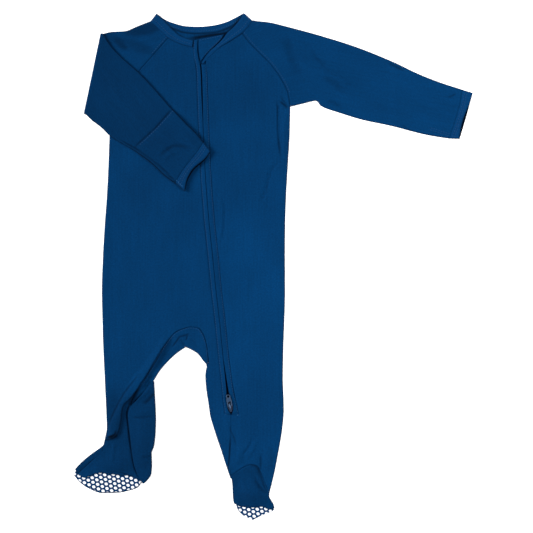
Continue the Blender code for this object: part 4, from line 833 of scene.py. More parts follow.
def jersey(name, colour, pitch=JERSEY_PITCH, ribbed=False, bump=0.5):
    """Knitted cotton: fine wales, faint streaks along them, soft clouds, painted shade in the
    knit's hollows, and the mesh's painted shade and light: darker rims, seams and creases, darker
    and lighter patches.
    """
    made, tree, shader = new_material(name, 0.88, Sheen_Weight=0.01, Sheen_Roughness=0.45,
                                      Sheen_Tint=(0.45, 0.6, 0.9, 1), Specular_IOR_Level=0.03)
    cut, shaded = read(tree, "cut", "Vector"), read(tree, "shade", "Fac")
    height = knit_height(tree, cut, pitch, ribbed)
    streaks, clouds, flecks = (vary(tree, noise(tree, cut, scale, detail), amount)
                               for scale, detail, amount in KNIT_NOISES)
    shade = maths(tree, "MULTIPLY", maths(tree, "MULTIPLY", streaks, clouds), flecks)
    # painted shade in the knit's hollows, darker where the knit is lower
    shade = maths(tree, "MULTIPLY", shade, maths(tree, "MULTIPLY_ADD", height, *KNIT_SHADE))
    # painted shade and painted light from the mesh's shade attribute
    shade = maths(tree, "MULTIPLY", shade, maths(tree, "SUBTRACT", 1.0, shaded))
    tint(tree, shader, shade, colour)
    roughen(tree, shader, height, bump)
    return made


def printed_sole(name, colour, mark):
    """Jersey with staggered rows of small rounded diamonds."""
    made = jersey(name, colour)
    tree = made.node_tree
    shader = tree.nodes["Principled BSDF"]
    cut, shaded = read(tree, "cut", "Vector"), read(tree, "shade", "Fac")
    turned = node(tree, "VectorRotate", {"Vector": cut, "Angle": math.radians(PRINT_TURN)},
                  rotation_type="Z_AXIS").outputs[0]
    parts = node(tree, "SeparateXYZ", (turned,))
    row = maths(tree, "MULTIPLY", parts.outputs[1], 1000 / PRINT_ROW)
    shift = maths(tree, "MULTIPLY", maths(tree, "FLOOR", row), 0.5)
    column = maths(tree, "ADD", maths(tree, "MULTIPLY", parts.outputs[0], 1000 / PRINT_STEP), shift)
    reach = 0.0
    for place, half in ((column, PRINT_HALF[0]), (row, PRINT_HALF[1])):
        off = maths(tree, "ABSOLUTE", maths(tree, "SUBTRACT", maths(tree, "FRACT", place), 0.5))
        rounded = maths(tree, "POWER", maths(tree, "DIVIDE", off, half), PRINT_ROUND)
        reach = maths(tree, "ADD", rounded, reach)
    inside = node(tree, "MapRange", {"Value": reach, "From Min": PRINT_GONE,
                                     "From Max": PRINT_FULL}).outputs[0]
    inside = maths(tree, "MULTIPLY", inside, maths(tree, "LESS_THAN", shaded, PRINT_BORDER))
    ground = shader.inputs["Base Color"].links[0].from_socket
    mixed = node(tree, "Mix", {0: inside, 6: ground, 7: (*mark, 1)}, data_type="RGBA").outputs[2]
    tree.links.new(mixed, shader.inputs["Base Color"])
    return made


def woven_tape(name, colour):
    """Zip tape: a close weave with ribs along the zip."""
    made, tree, shader = new_material(name, 0.9, Specular_IOR_Level=0.02)
    ribs = node(tree, "TexWave", {"Vector": read(tree, "cut", "Vector"), "Scale": 180.0,
                                  "Distortion": 0.4}).outputs["Fac"]
    tint(tree, shader, vary(tree, ribs, 0.2), colour)
    roughen(tree, shader, ribs, 0.4)
    return made


def sewing_thread(name, colour):
    """Twisted polyester thread."""
    made, tree, shader = new_material(name, 0.55, Specular_IOR_Level=0.2)
    place = node(tree, "TexCoord").outputs["Object"]
    twist = node(tree, "TexWave", {"Vector": place, "Scale": 700.0, "Distortion": 1.0})
    tint(tree, shader, vary(tree, twist.outputs["Fac"], 0.25), colour)
    return made


def satin(name, colour, metallic, roughness, wear):
    """Painted metal or plastic, with its paint a little uneven and rubbed."""
    made, tree, shader = new_material(name, roughness, Metallic=metallic)
    place = node(tree, "TexCoord").outputs["Object"]
    uneven = noise(tree, place, (900, 900, 900), 3.0)
    tint(tree, shader, vary(tree, uneven, wear), colour)
    rough = maths(tree, "MULTIPLY_ADD", uneven, 0.2, roughness - 0.1)
    tree.links.new(rough, shader.inputs["Roughness"])
    return made


# ---- Making pieces -------------------------------------------------------------------------

def new_mesh(name, points, faces, finish):
    """A smooth mesh with its material."""
    mesh = bpy.data.meshes.new(name)
    mesh.from_pydata(points, [], faces)
    mesh.shade_smooth()
    mesh.materials.append(finish)
    return mesh


def new_object(name, data):
    """An object in the scene."""
    made = bpy.data.objects.new(name, data)
    bpy.context.scene.collection.objects.link(made)
    return made


def dress(obj, replaced, body="garment"):
    """Gives a piece its body, and hides the solids it stands for."""
    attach(obj, body)
    if replaced:
        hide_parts(*replaced)


def cloth(name, surfaces, finish, wall=WALL, ring=False):
    """One cloth piece over its solid: grids of its outer surface, welded where they meet."""
    points, faces = [], []
    for grid in surfaces:
        rows, columns = grid.shape[:2]
        base = len(points)
        points.extend(grid.reshape(-1, 6))
        for r in range(rows - 1):
            for c in range(columns if ring else columns - 1):
                d = (c + 1) % columns
                faces.append([base + r * columns + c, base + (r + 1) * columns + c,
                              base + (r + 1) * columns + d, base + r * columns + d])
    points = np.array(points)
    mesh = new_mesh(name + "_cloth", points[:, :3] * MM, faces, finish)
    cut = mesh.attributes.new("cut", "FLOAT_VECTOR", "POINT")
    cut.data.foreach_set("vector", (np.pad(points[:, 3:5], ((0, 0), (0, 1))) * MM).ravel())
    mesh.attributes.new("shade", "FLOAT", "POINT").data.foreach_set("value", points[:, 5].copy())
    work = bmesh.new()
    work.from_mesh(mesh)
    bmesh.ops.remove_doubles(work, verts=work.verts, dist=1e-6)
    work.to_mesh(mesh)
    work.free()
    SURFACES[name] = BVHTree.FromPolygons([vertex.co for vertex in mesh.vertices],
                                          [tuple(face.vertices) for face in mesh.polygons])
    obj = new_object(name + "_cloth", mesh)
    solid = obj.modifiers.new("Wall", "SOLIDIFY")
    solid.thickness = wall * MM
    solid.offset = -1
    dress(obj, (name,))


def panel(grid, seams, tone=0.0):
    """Outer surface of a piece on the front's layer."""
    x, y = grid[..., 0], grid[..., 1]
    return surface(grid, turned_down(grid, FRONT_TOP + lift(x, y)), seams=seams,
                   tone=painted_shading_at(x, y, tone))


def tube_rings(grid, bottom, top, normals=None, first_below=False, seams="", tone=0.0):
    """Flattened rings: one sheet across the section, then the other sheet back."""
    middle, half = (bottom + top) / 2, (top - bottom) / 2
    edge = np.minimum(grid[..., 2], grid[..., 3]) - SEAM / 2
    q = np.clip(edge / EDGE_ROUND, 0, 1)
    reach = half * np.sqrt(np.clip(1 - (1 - q) ** 2, 0, 1))
    if normals is None:
        normals = np.zeros(grid.shape[:2] + (3,))
        normals[..., 2] = -1 if first_below else 1
    reach = np.maximum(reach + seam_relief(grid, seams), 0)
    rimmed = grid.copy()
    rimmed[..., 4:] = 1
    centre = surface(rimmed, middle, weave(grid), seams, tone)
    centre[..., 2] -= seam_relief(rimmed, seams)
    first, second = centre.copy(), centre.copy()
    first[..., :3] += reach[..., None] * normals
    second[..., :3] -= reach[..., None] * normals
    return np.concatenate((first, second[:, -2:0:-1]), axis=1)


# ---- Body ----------------------------------------------------------------------------------

def split_stops(length):
    """Distances across the right front, with a point where the leg gap starts below."""
    leg = stops(LEG_CELLS, True, True, (SEAM / 2, 0))(length * CROTCH_SHARE)
    strip = stops(STRIP_CELLS, True, True, (0, SEAM / 2))(length * (1 - CROTCH_SHARE))
    return np.concatenate((leg, strip[1:] + length * CROTCH_SHARE))


def leg_and_gusset(sections, turned, gusset_pairs, across, seam_column):
    """A leg's grid and the strip of gusset beside it, lofted together so that they match."""
    rows = [np.column_stack((along(points, across), np.tile((turn, 0), (len(across(100.0)), 1))))
            for points, turn in zip(sections, turned)]
    ends = [np.zeros((2, 6)) for _ in rows]
    for end, row in zip(ends, rows):
        end[:, :2] = row[seam_column, :2]
    for end, pair in zip(ends, gusset_pairs):
        end[:, :2] = np.reshape(pair, (2, 2))
    together = [np.concatenate(pair) for pair in zip(rows, ends)]
    grid = smooth(together, lambda gap: by_length(gap * LEG_ROWS))
    gusset_rows = len(smooth(together[:len(gusset_pairs)], lambda gap: by_length(gap * LEG_ROWS)))
    return grid[:, :-2], grid[:gusset_rows, -2:, :2]


def right_leg():
    """Right leg down to the sole, and its side of the gusset."""
    sections = [((a, b), (c, d)) for a, b, c, d, _, _ in CROTCH_RIGHT] + pairs(SHIN_RIGHT)
    turned = [1] * len(CROTCH_RIGHT) + [*SHIN_RIGHT_TURNED, 0]
    return leg_and_gusset(sections + [SOLE_SEAM_RIGHT], turned, [row[2:] for row in CROTCH_RIGHT],
                          stops(LEG_CELLS, True, True), -1)


def left_strip():
    """Strip of the left leg between the crotch and the zip."""
    table = [row[:3] for row in CROTCH_LEFT] + list(SHIN_STRIP)
    sections = [((x, y), zip_edge(zip_y, "right")) for zip_y, x, y in table]
    turned = [0] * (len(CROTCH_LEFT) - 1) + [0.5] + [1] * len(SHIN_STRIP)
    return leg_and_gusset(sections, turned, [row[1:] for row in CROTCH_LEFT],
                          stops(STRIP_CELLS, True, True, (SEAM / 2, -EDGE_LAP)), 0)


def right_body():
    """Grid of the right front above the crotch."""
    sections = [NECK_RIGHT] + [((row.right_x, row.right_y), zip_edge(row.zip_y, "right"))
                               for row in BODY]
    turned = [(0, 0)] + [(row.turned, 0) for row in BODY]
    return pull_back(loft(sections, split_stops, turned), end=0)


def left_body():
    """Grid of the left front down to the foot."""
    sections = [NECK_LEFT] + [(zip_edge(row.zip_y, "left"), (row.left_x, row.left_y))
                              for row in BODY]
    sections += [(zip_edge(y, "left"), (x, side_y)) for y, x, side_y in SHIN_LEFT]
    sections += [ANKLE_LEFT, VAMP_SEAM_LEFT]
    turned = [(0, 0)] + [(0, row.turned) for row in BODY] + [(0, 1)] * (len(SHIN_LEFT) + 2)
    turned[-2:] = [(0.5, 1), (1, 1)]
    return pull_back(loft(sections, stops(LEFT_CELLS, start=True, end=True), turned))


def fronts(navy):
    """Both fronts. The right one is welded from its body, its leg and the left leg's strip."""
    body = right_body()
    columns = LEG_CELLS - 1 + 2 * len(EDGE_STEPS)
    leg, strip = right_leg()[0], left_strip()[0]
    leg[0], strip[0] = body[-1, :columns], body[-1, columns - 1:]
    leg[0, :, 3] = leg[0, -1, 2] - leg[0, :, 2]
    strip[0, :, 2] -= body[-1, columns - 1, 2]
    strip[0, :, 4] = 0
    parts = (panel(finer_ends(body), "sEf"), panel(finer_ends(pull_back(leg, start=0)), "sel"),
             panel(finer_ends(pull_back(strip, start=0)), "sEl"))
    cloth("front_right", parts, navy)
    cloth("front_left", [panel(finer_ends(left_body()), "Sefl")], navy)


def gusset(navy):
    """Crotch gusset: an arch between the leg seams and the crotch's edge."""
    right, left = right_leg()[1], left_strip()[1]
    arch = np.concatenate((right[:0:-1], left))
    rows = []
    for seam_point, edge_point in arch:
        width = np.linalg.norm(edge_point - seam_point)
        turned = ramp(edge_point[0], *GUSSET_TURNED)
        edge = SEAM / 2 + min(EDGE_ROUND, width / 3) * np.array(EDGE_STEPS)
        at = np.concatenate((edge, np.linspace(edge[-1], width - SEAM / 2, GUSSET_CELLS + 1)[1:-1],
                             width - SEAM / 2 - np.array(GUSSET_SEAM_STEPS)))
        place = edge_point + (seam_point - edge_point) * (at / width)[:, None]
        rows.append(np.column_stack((place, at, width - at, np.full(len(at), turned), 0 * at)))
    top = panel(pull_back(np.array(rows), end=-GUSSET_LAP), "e")
    top[-1, :, 2] -= WALL
    cloth("gusset", [top], navy)


def back_body(navy):
    """Back: body and both legs, the flat underside of the whole."""
    right_side = [NECK_CORNER_RIGHT, *((row.right_x, row.right_y) for row in BODY),
                  (-212.4, CROTCH_TOP_BACK[1])]
    left_side = [NECK_CORNER_LEFT, *((row.left_x, row.left_y) for row in BODY),
                 (12.9, CROTCH_TOP_BACK[1])]
    middle = [(np.add(a, b) / 2).tolist() for a, b in zip(right_side, left_side)]
    middle[-1] = CROTCH_TOP_BACK
    right = [NECK_BACK[:5]] + list(zip(right_side, middle))
    left = [NECK_BACK[4:]] + list(zip(middle, left_side))
    turned = np.array((0, 0, *(row.turned for row in BODY), 1), float)
    turned[:-1] = np.maximum(turned[:-1], turned[1:] / 2)
    insets = SEAM / 2 + (BACK_INSET - SEAM / 2) * turned
    rows = [np.concatenate((along(a, stops(BACK_CELLS, trim=(inset, 0))),
                            along(b, stops(BACK_CELLS, trim=(0, inset)))[1:]))
            for a, b, inset in zip(right, left, insets)]
    body = smooth(rows, by_length)
    legs = []
    for table, first in ((UNDER_RIGHT, body[-1, :BACK_CELLS + 1]),
                         (UNDER_LEFT, body[-1, BACK_CELLS:])):
        across = stops(BACK_CELLS, trim=(BACK_INSET, BACK_INSET))
        leg = smooth([first] + [along(points, across) for points in pairs(table)], by_length)
        legs.append(pull_back(leg, start=0))
    tops = []
    for part in (finer_ends(pull_back(body, end=0)), *legs):
        part = np.pad(part, ((0, 0), (0, 0), (0, 2)))
        x, y = part[..., 0], part[..., 1]
        # painted shadow inside the neck
        shaded = crease_shade(x, y, NECK_SHADE)
        tops.append(surface(part, WALL + under_lift(x, y), tone=shaded))
    cloth("back_body", tops, navy)


def leg_back_right(navy):
    """Back of the right leg, turned to the front below the knee by the twist."""
    turned = [(0, 1)] * len(LEG_BACK_RIGHT)
    grid = loft(pairs(LEG_BACK_RIGHT), stops(TURNED_LEG_CELLS, end=True), turned)
    x, y = grid[..., 0], grid[..., 1]
    top = FRONT_TOP + LAYER + LOOSE + crown_lift(x, y) + waves(x, y)
    top = top + creased(x, y, LEG_BACK_FOLDS) + dome_lift(x, y, TURNED_LEG_DOME)
    shaded = painted_shading_at(x, y, SHADE_TURNED, LEG_BACK_FOLDS)
    cloth("leg_back_right", [surface(grid, turned_down(grid, top), tone=shaded)], navy)


# ---- Feet ----------------------------------------------------------------------------------

def foot_top(side, grid, lap, seams, tone, tucked, finish):
    """Top of a foot, whose first row laps under the leg and sinks there."""
    grid = finer_ends(pull_back(grid, start=-lap))
    top = panel(grid, seams, tone)
    top[..., 2] -= FOOT_TUCK * ramp(run_down(grid), *tucked)
    cloth("foot_top_" + side, [top], finish)


def sole(side, sections, finish):
    """Sole of a foot, whose print stops short of its seamed edges."""
    grid = loft(sections, stops(SOLE_CELLS, True, True))
    edge = np.minimum(grid[..., 2], grid[..., 3])
    # Near the seamed edges the shade attribute stops the print and darkens the ground a little,
    # painted shade along the seams.
    bordered = surface(grid, WALL, seams="se", tone=0.2 * ramp(edge, 2.0, 1.0))
    cloth("sole_" + side, [bordered], finish)


def feet(navy, printed):
    """Tops and soles of both feet."""
    right = loft(pairs(VAMP_RIGHT), stops(VAMP_CELLS_RIGHT, True, True, (SEAM / 2, -EDGE_LAP)),
                 [(1, 0)] * len(VAMP_RIGHT))
    foot_top("right", right, FOOT_LAPS[0], "El", SHADE_TURNED, FOOT_SINKS[0], navy)
    sole("right", pairs(SOLE_RIGHT), printed)
    turned = [(1, 1)] * (len(VAMP_LEFT) - 1) + [(0, 0)]
    left = loft(VAMP_LEFT, stops(VAMP_CELLS_LEFT, True, True), turned)
    foot_top("left", left, FOOT_LAPS[1], "l", SHADE_FOOT, FOOT_SINKS[1], navy)
    sole("left", SOLE_LEFT, printed)


# ---- Sleeves -------------------------------------------------------------------------------

def seam_side(grid, column, last_y):
    """The edge of a front along its raglan seam, which its sleeve follows."""
    edge = grid[:, column, :2]
    return edge[edge[:, 1] >= last_y - 0.01]


def raglan_stops(length):
    """Distances along the raglan seam, close together at the armpit."""
    body = np.linspace(0, length - SEAM / 2 - EDGE_ROUND, SLEEVE_CELLS[1] + 1)[:-1]
    edge = [length - SEAM / 2 - EDGE_ROUND * step for step in reversed(EDGE_STEPS)]
    return np.array([*body, *edge])


def raglan_row(neck_point, raglan, start_edge):
    """First section of a sleeve: the neck edge, then the raglan seam down to the armpit."""
    first = along((neck_point, raglan[0]), stops(SLEEVE_CELLS[0], start=True, trim=(SEAM / 2, 0)))
    second = along(raglan, raglan_stops)
    length = first[-1, 2]
    first[:, 3] += second[0, 3]
    second[:, 2] += length
    row = np.concatenate((first, second[1:]))
    return row if start_edge == "shoulder" else row[::-1][:, (0, 1, 3, 2)]


def sleeve_rows(first_row, sections):
    """Grid of a sleeve through its raglan row and further sections."""
    rows = [first_row] + [along(points, ACROSS_SLEEVE) for points in sections]
    return smooth([np.pad(row, ((0, 0), (0, 2))) for row in rows], by_length)


def fold_rings(section):
    """Rings that carry the right sleeve around its fold."""
    (px, py), (qx, qy) = section
    length = math.hypot(qx - px, qy - py)
    out = np.array(((qy - py) / length, -(qx - px) / length, 0.0))
    if out[0] > 0:
        out = -out
    row = np.pad(along(section, ACROSS_SLEEVE), ((0, 0), (0, 2)))[None]
    rings = []
    for degrees in ARM_FOLD_TURNS:
        turn = math.radians(degrees)
        normal = -out * math.sin(turn) + np.array((0, 0, math.cos(turn)))
        ring = tube_rings(row, 0.0, FRONT_TOP, np.broadcast_to(normal, row.shape[:2] + (3,)),
                          tone=SHADE_TURNED)
        centre = out * math.sin(turn) + np.array((0, 0, 1 - math.cos(turn)))
        ring[..., :3] += centre * (FRONT_TOP + SEAM) / 2
        rings.append(ring)
    return np.concatenate(rings)


def sleeve_right(navy):
    """Right sleeve: a flattened tube, folded back over the chest."""
    fold = ((ARM_FOLD[0], ARM_FOLD[1]), (ARM_FOLD[2], ARM_FOLD[3]))
    raglan = seam_side(right_body(), 0, BODY[6].right_y)
    first = raglan_row(SHOULDER_RIGHT, raglan, "shoulder")
    upper = sleeve_rows(first, pairs(UPPER_ARM) + [fold])
    upper = finer_ends(pull_back(upper, start=-SEAM, end=0))
    fore_sections = [fold] + pairs(FOREARM) + [CUFF_SEAM_RIGHT]
    fore = finer_ends(pull_back(loft(fore_sections, ACROSS_SLEEVE), start=0))
    low, high = forearm_heights(fore)
    x, y = upper[..., 0], upper[..., 1]
    top = FRONT_TOP + lift(x, y)
    turning = painted_shading_at(x, y, SHADE_TURNED * ramp(x, *ARM_TURN_X))
    turned = painted_shading_at(fore[..., 0], fore[..., 1], SHADE_TURNED, FOREARM_CREASES)
    rings = np.concatenate((
        tube_rings(upper, 0.0, top, seams="f", tone=turning), fold_rings(fold),
        tube_rings(fore, low, high, first_below=True, seams="l", tone=turned)))
    cloth("sleeve_right", [rings], navy, ring=True)


def forearm_heights(grid):
    """Underside and top of the forearm over what it lies on."""
    x, y = grid[..., 0], grid[..., 1]
    low = bed(x, y)
    return low, low + FRONT_TOP + dome_lift(x, y, FOREARM_DOME) + creased(x, y, FOREARM_CREASES)


def mitten_right(navy):
    """Fold-over mitten layer on the back of the right sleeve, which faces up."""
    sections = [MITTEN_EDGE_RIGHT, *pairs(FOREARM[5:]), CUFF_SEAM_RIGHT]
    across = stops(MITTEN_CELLS_RIGHT, True, True, (-MITTEN_LAP, -MITTEN_LAP))
    grid = loft([section[::-1] for section in sections], across, [(1, 1)] * len(sections))
    grid = finer_ends(pull_back(grid))
    low, high = forearm_heights(grid)
    high = high + MITTEN_STEP + (LAYER - MITTEN_STEP) * ramp(run_down(grid), 0, MITTEN_RISE)
    edge = np.minimum(grid[..., 2], grid[..., 3])
    q = np.clip((edge + MITTEN_LAP) / (EDGE_ROUND + MITTEN_LAP), 0, 1)
    z = high - (high - low) * MITTEN_SIDE * (1 - np.sqrt(1 - (1 - q) ** 2))
    shaded = painted_shading_at(grid[..., 0], grid[..., 1], SHADE_TURNED, FOREARM_CREASES)
    cloth("mitten_right", [surface(grid, z, weave(grid), "Fl", shaded)], navy)


def open_mouth(rings, grid, retreat, opening, way):
    """Draws the upper sheet back from a cuff's mouth; inside, the lower sheet gets painted shadow.
    """
    half = rings.shape[1] // 2 + 1
    down = run_down(grid)
    back = hump((np.linspace(0, 1, half) - opening[0]) / opening[1]) * ramp(down, 0, 12.0)
    rings[:, :half, :2] -= retreat * back[..., None] * np.array(way)
    inside = MOUTH_SHADE * ramp(down[-1] - down, 6.0, 2.0)
    rings[:, half:, 5] = np.maximum(rings[:, half:, 5], inside[:, 1:rings.shape[1] - half + 1])


def cuff(side, seam, mouth, lies_on, opened, tone, finish):
    """Binding of a cuff, open at its mouth."""
    grid = finer_ends(pull_back(loft([seam[::-1], mouth[::-1]], stops(CUFF_CELLS, True, True)),
                                start=-TUCK, end=0))
    low = lies_on(grid[..., 0], grid[..., 1])
    rings = tube_rings(grid, low, low + FRONT_TOP + LAYER, seams="fl", tone=tone)
    open_mouth(rings, grid, *opened)
    cloth("cuff_" + side, [rings], finish, CUFF_WALL, ring=True)


def sleeve_left(navy):
    """Left sleeve: a flattened tube, laid out, over its mitten layer near the cuff."""
    raglan = seam_side(left_body(), -1, BODY[6].left_y)
    first = raglan_row(SHOULDER_LEFT, raglan, "underarm")
    sections = [ARMPIT_LEFT] + pairs(SLEEVE_LEFT) + [CUFF_SEAM_LEFT]
    grid = sleeve_rows(first, [section[::-1] for section in sections])
    grid = finer_ends(pull_back(grid, start=-SEAM))
    raised = LAYER * ramp(grid[..., 0], *MITTEN_LEFT_X)
    top = FRONT_TOP + raised + lift(grid[..., 0], grid[..., 1])
    shaded = painted_shading_at(grid[..., 0], grid[..., 1])
    rings = tube_rings(grid, raised, top, seams="fl", tone=shaded)
    cloth("sleeve_left", [rings], navy, ring=True)


def mitten_left(navy):
    """Fold-over mitten layer on the back of the left sleeve, under it."""
    sections = [MITTEN_EDGE_LEFT, *pairs(SLEEVE_LEFT[-2:]), CUFF_SEAM_LEFT]
    grid = pull_back(loft([section[::-1] for section in sections], stops(MITTEN_CELLS_LEFT)))
    cloth("mitten_left", [surface(grid, WALL, weave(grid))], navy)


# ---- Neck and zip --------------------------------------------------------------------------

def neck(navy, rib):
    """Binding around the neck in three parts, and the guard over the zip's top."""
    bands = (("neckband_right", NECKBAND_RIGHT, WALL + SEAM), ("neckband_back", NECKBAND_BACK, 0),
             ("neckband_left", NECKBAND_LEFT, WALL + SEAM))
    for name, table, base in bands:
        thick = BAND if base else WALL
        sections = widened(table, name != "neckband_left")
        grid = finer_ends(pull_back(loft(sections, stops(BAND_CELLS, True, True)), -TUCK / 2,
                                    -TUCK / 2))
        across = grid[..., 2] / (grid[..., 2] + grid[..., 3])
        crown = BAND_CROWN * (1 - (2 * across - 1) ** 4) if base else 0
        # the back band gets painted shadow inside the neck
        shaded = 0.0 if base else crease_shade(grid[..., 0], grid[..., 1], NECK_SHADE)
        top = surface(grid, base + thick + crown, weave(grid), "se", shaded)
        if name == "neckband_left":
            ends = ramp(run_down(grid), *BAND_FLATTENS)
            top[..., 2] -= ends * (top[..., 2] - FRONT_TOP - BAND_LEFT_OVER)
            top[..., 5] *= 1 - BAND_FADE * ends
        cloth(name, [top], rib, wall=thick)
    grid = finer_ends(pull_back(loft(pairs(GUARD), stops(GUARD_CELLS, True, True))))
    cloth("zip_guard", [surface(grid, FRONT_TOP, seams="eF")], navy)


def widened(table, outer_first):
    """Sections of a band whose outer edge laps over the seam."""
    sections = []
    for a, b in pairs(table):
        a, b = np.array(a), np.array(b)
        lap = (a - b) * TUCK / np.linalg.norm(a - b)
        sections.append((a + lap, b) if outer_first else (a, b - lap))
    return sections


def zip_strip(name, left_edge, right_edge, y_range, rise, seams, finish,
              wall=WALL):
    """Narrow strip along the zip between two edges given as functions of y."""
    heights = np.arange(y_range[0], y_range[1], -CELL)
    heights = np.append(heights[:-1], y_range[1])
    sections = [((left_edge(y), y), (right_edge(y), y)) for y in heights]
    grid = loft(sections, stops(FACING_CELLS, True, True), per_span=lambda gap: 1)
    x, y = grid[..., 0], grid[..., 1]
    z = rise(np.abs(x - zip_x(y)), y) + lift(x, y)
    cloth(name, [surface(grid, z, seams=seams)], finish, wall=wall)


def facing_rise(column):
    """Height across a facing: stitched down at its outer edge, rolled over at the slit."""
    def rise(distance, y):
        inner, outer = facing(y, 1), facing(y, column)
        share = (distance - inner) / (outer - inner)
        q = np.clip((distance - inner) / FACING_ROLL, 0, 1)
        rolled = 1 - np.sqrt(np.clip(1 - (1 - q) ** 2, 0, 1))
        crown = FACING_RISE * (1 - ramp(share, *FACING_SLOPE)) * ramp(y, *FACING_STARTS)
        return FRONT_TOP + crown - FACING_DROP * rolled - FACING_SINK * ramp(y, *FACING_ENDS)
    return rise


def zip_strips(navy, tape):
    """The tape, and the stitched facings that cover it."""
    zip_strip("placket_right", lambda y: zip_x(y) - facing(y, 2),
              lambda y: zip_x(y) - facing(y, 1), (ZIP_TOP, ZIP_END - FACING_PAST),
              facing_rise(2), "S", navy)
    zip_strip("placket_left", lambda y: zip_x(y) + facing(y, 1),
              lambda y: zip_x(y) + facing(y, 3), (GUARD_END, ZIP_END - FACING_PAST),
              facing_rise(3), "E", navy)
    zip_strip("zip_tape", lambda y: zip_x(y) - FACING_RIGHT + TAPE_INSET,
              lambda y: zip_x(y) + FACING_LEFT - TAPE_INSET, (GUARD_END, ZIP_END),
              lambda distance, y: 0 * y + LAYER + TAPE_WALL, "", tape,
              TAPE_WALL)


# ---- Sewing --------------------------------------------------------------------------------

def top_of(names):
    """Height, in mm, of the highest of the named cloth pieces at a place."""
    def height(x, y):
        hits = [SURFACES[name].ray_cast(Vector((x * MM, y * MM, 0.1)), Vector((0, 0, -1)))[0]
                for name in names]
        return max((hit.z / MM for hit in hits if hit), default=None)
    return height


def capsules(name, places, half, radius, flatness, finish):
    """Many small rounded bars in one piece: centre x, y, z at their middle and both ends."""
    points, faces = [], []
    turns = np.linspace(0, 2 * math.pi, BAR_SIDES, endpoint=False)
    for x, y, dx, dy, ends in places:
        base = len(points)
        for t in BAR_STOPS:
            size = radius * math.sqrt(1 - t * t) + BAR_TIP
            z = ends[1] + t * (ends[2] - ends[0]) / 2 + t * t * ((ends[0] + ends[2]) / 2 - ends[1])
            for turn in turns:
                aside = size * math.cos(turn)
                points.append((x + t * half * dx - aside * dy, y + t * half * dy + aside * dx,
                               z + flatness * size * math.sin(turn)))
        for ring in range(len(BAR_STOPS) - 1):
            for k in range(BAR_SIDES):
                a, b = base + ring * BAR_SIDES + k, base + ring * BAR_SIDES + (k + 1) % BAR_SIDES
                faces.append((a, b, b + BAR_SIDES, a + BAR_SIDES))
        last = base + (len(BAR_STOPS) - 1) * BAR_SIDES
        faces.append(tuple(range(base + BAR_SIDES - 1, base - 1, -1)))
        faces.append(tuple(range(last, last + BAR_SIDES)))
    mesh = new_mesh(name, np.array(points) * MM, faces, finish)
    dress(new_object(name, mesh), ())


def stitches(name, rows, lies_on, finish):
    """Rows of stitches pressed into the cloth along lines."""
    height, places = top_of(lies_on), []
    for row in rows:
        line = curve(row, 6)
        run = run_along(line)
        for at in np.arange(STITCH_PITCH / 2, run[-1], STITCH_PITCH):
            ends = [np.array([np.interp(at + side * STITCH_HALF, run, line[:, k]) for k in (0, 1)])
                    for side in (-1, 0, 1)]
            z = [height(*end) for end in ends]
            if None in z or max(z) - min(z) > STITCH_STEP:
                continue
            way = (ends[2] - ends[0]) / max(np.linalg.norm(ends[2] - ends[0]), 0.1)
            z = (z[0] - STITCH_SINK, z[1] + STITCH_RISE, z[2] - STITCH_SINK)
            places.append((*ends[1], *way, z))
    capsules(name, places, STITCH_HALF, STITCH_RADIUS, STITCH_FLAT, finish)


def between(table, share):
    """Line at a share of the way from the first to the second edge of a table of sections."""
    return [(a + (c - a) * share, b + (d - b) * share) for a, b, c, d in table]


def shifted(line, dx, dy):
    """The line moved aside."""
    return [(x + dx, y + dy) for x, y in line]


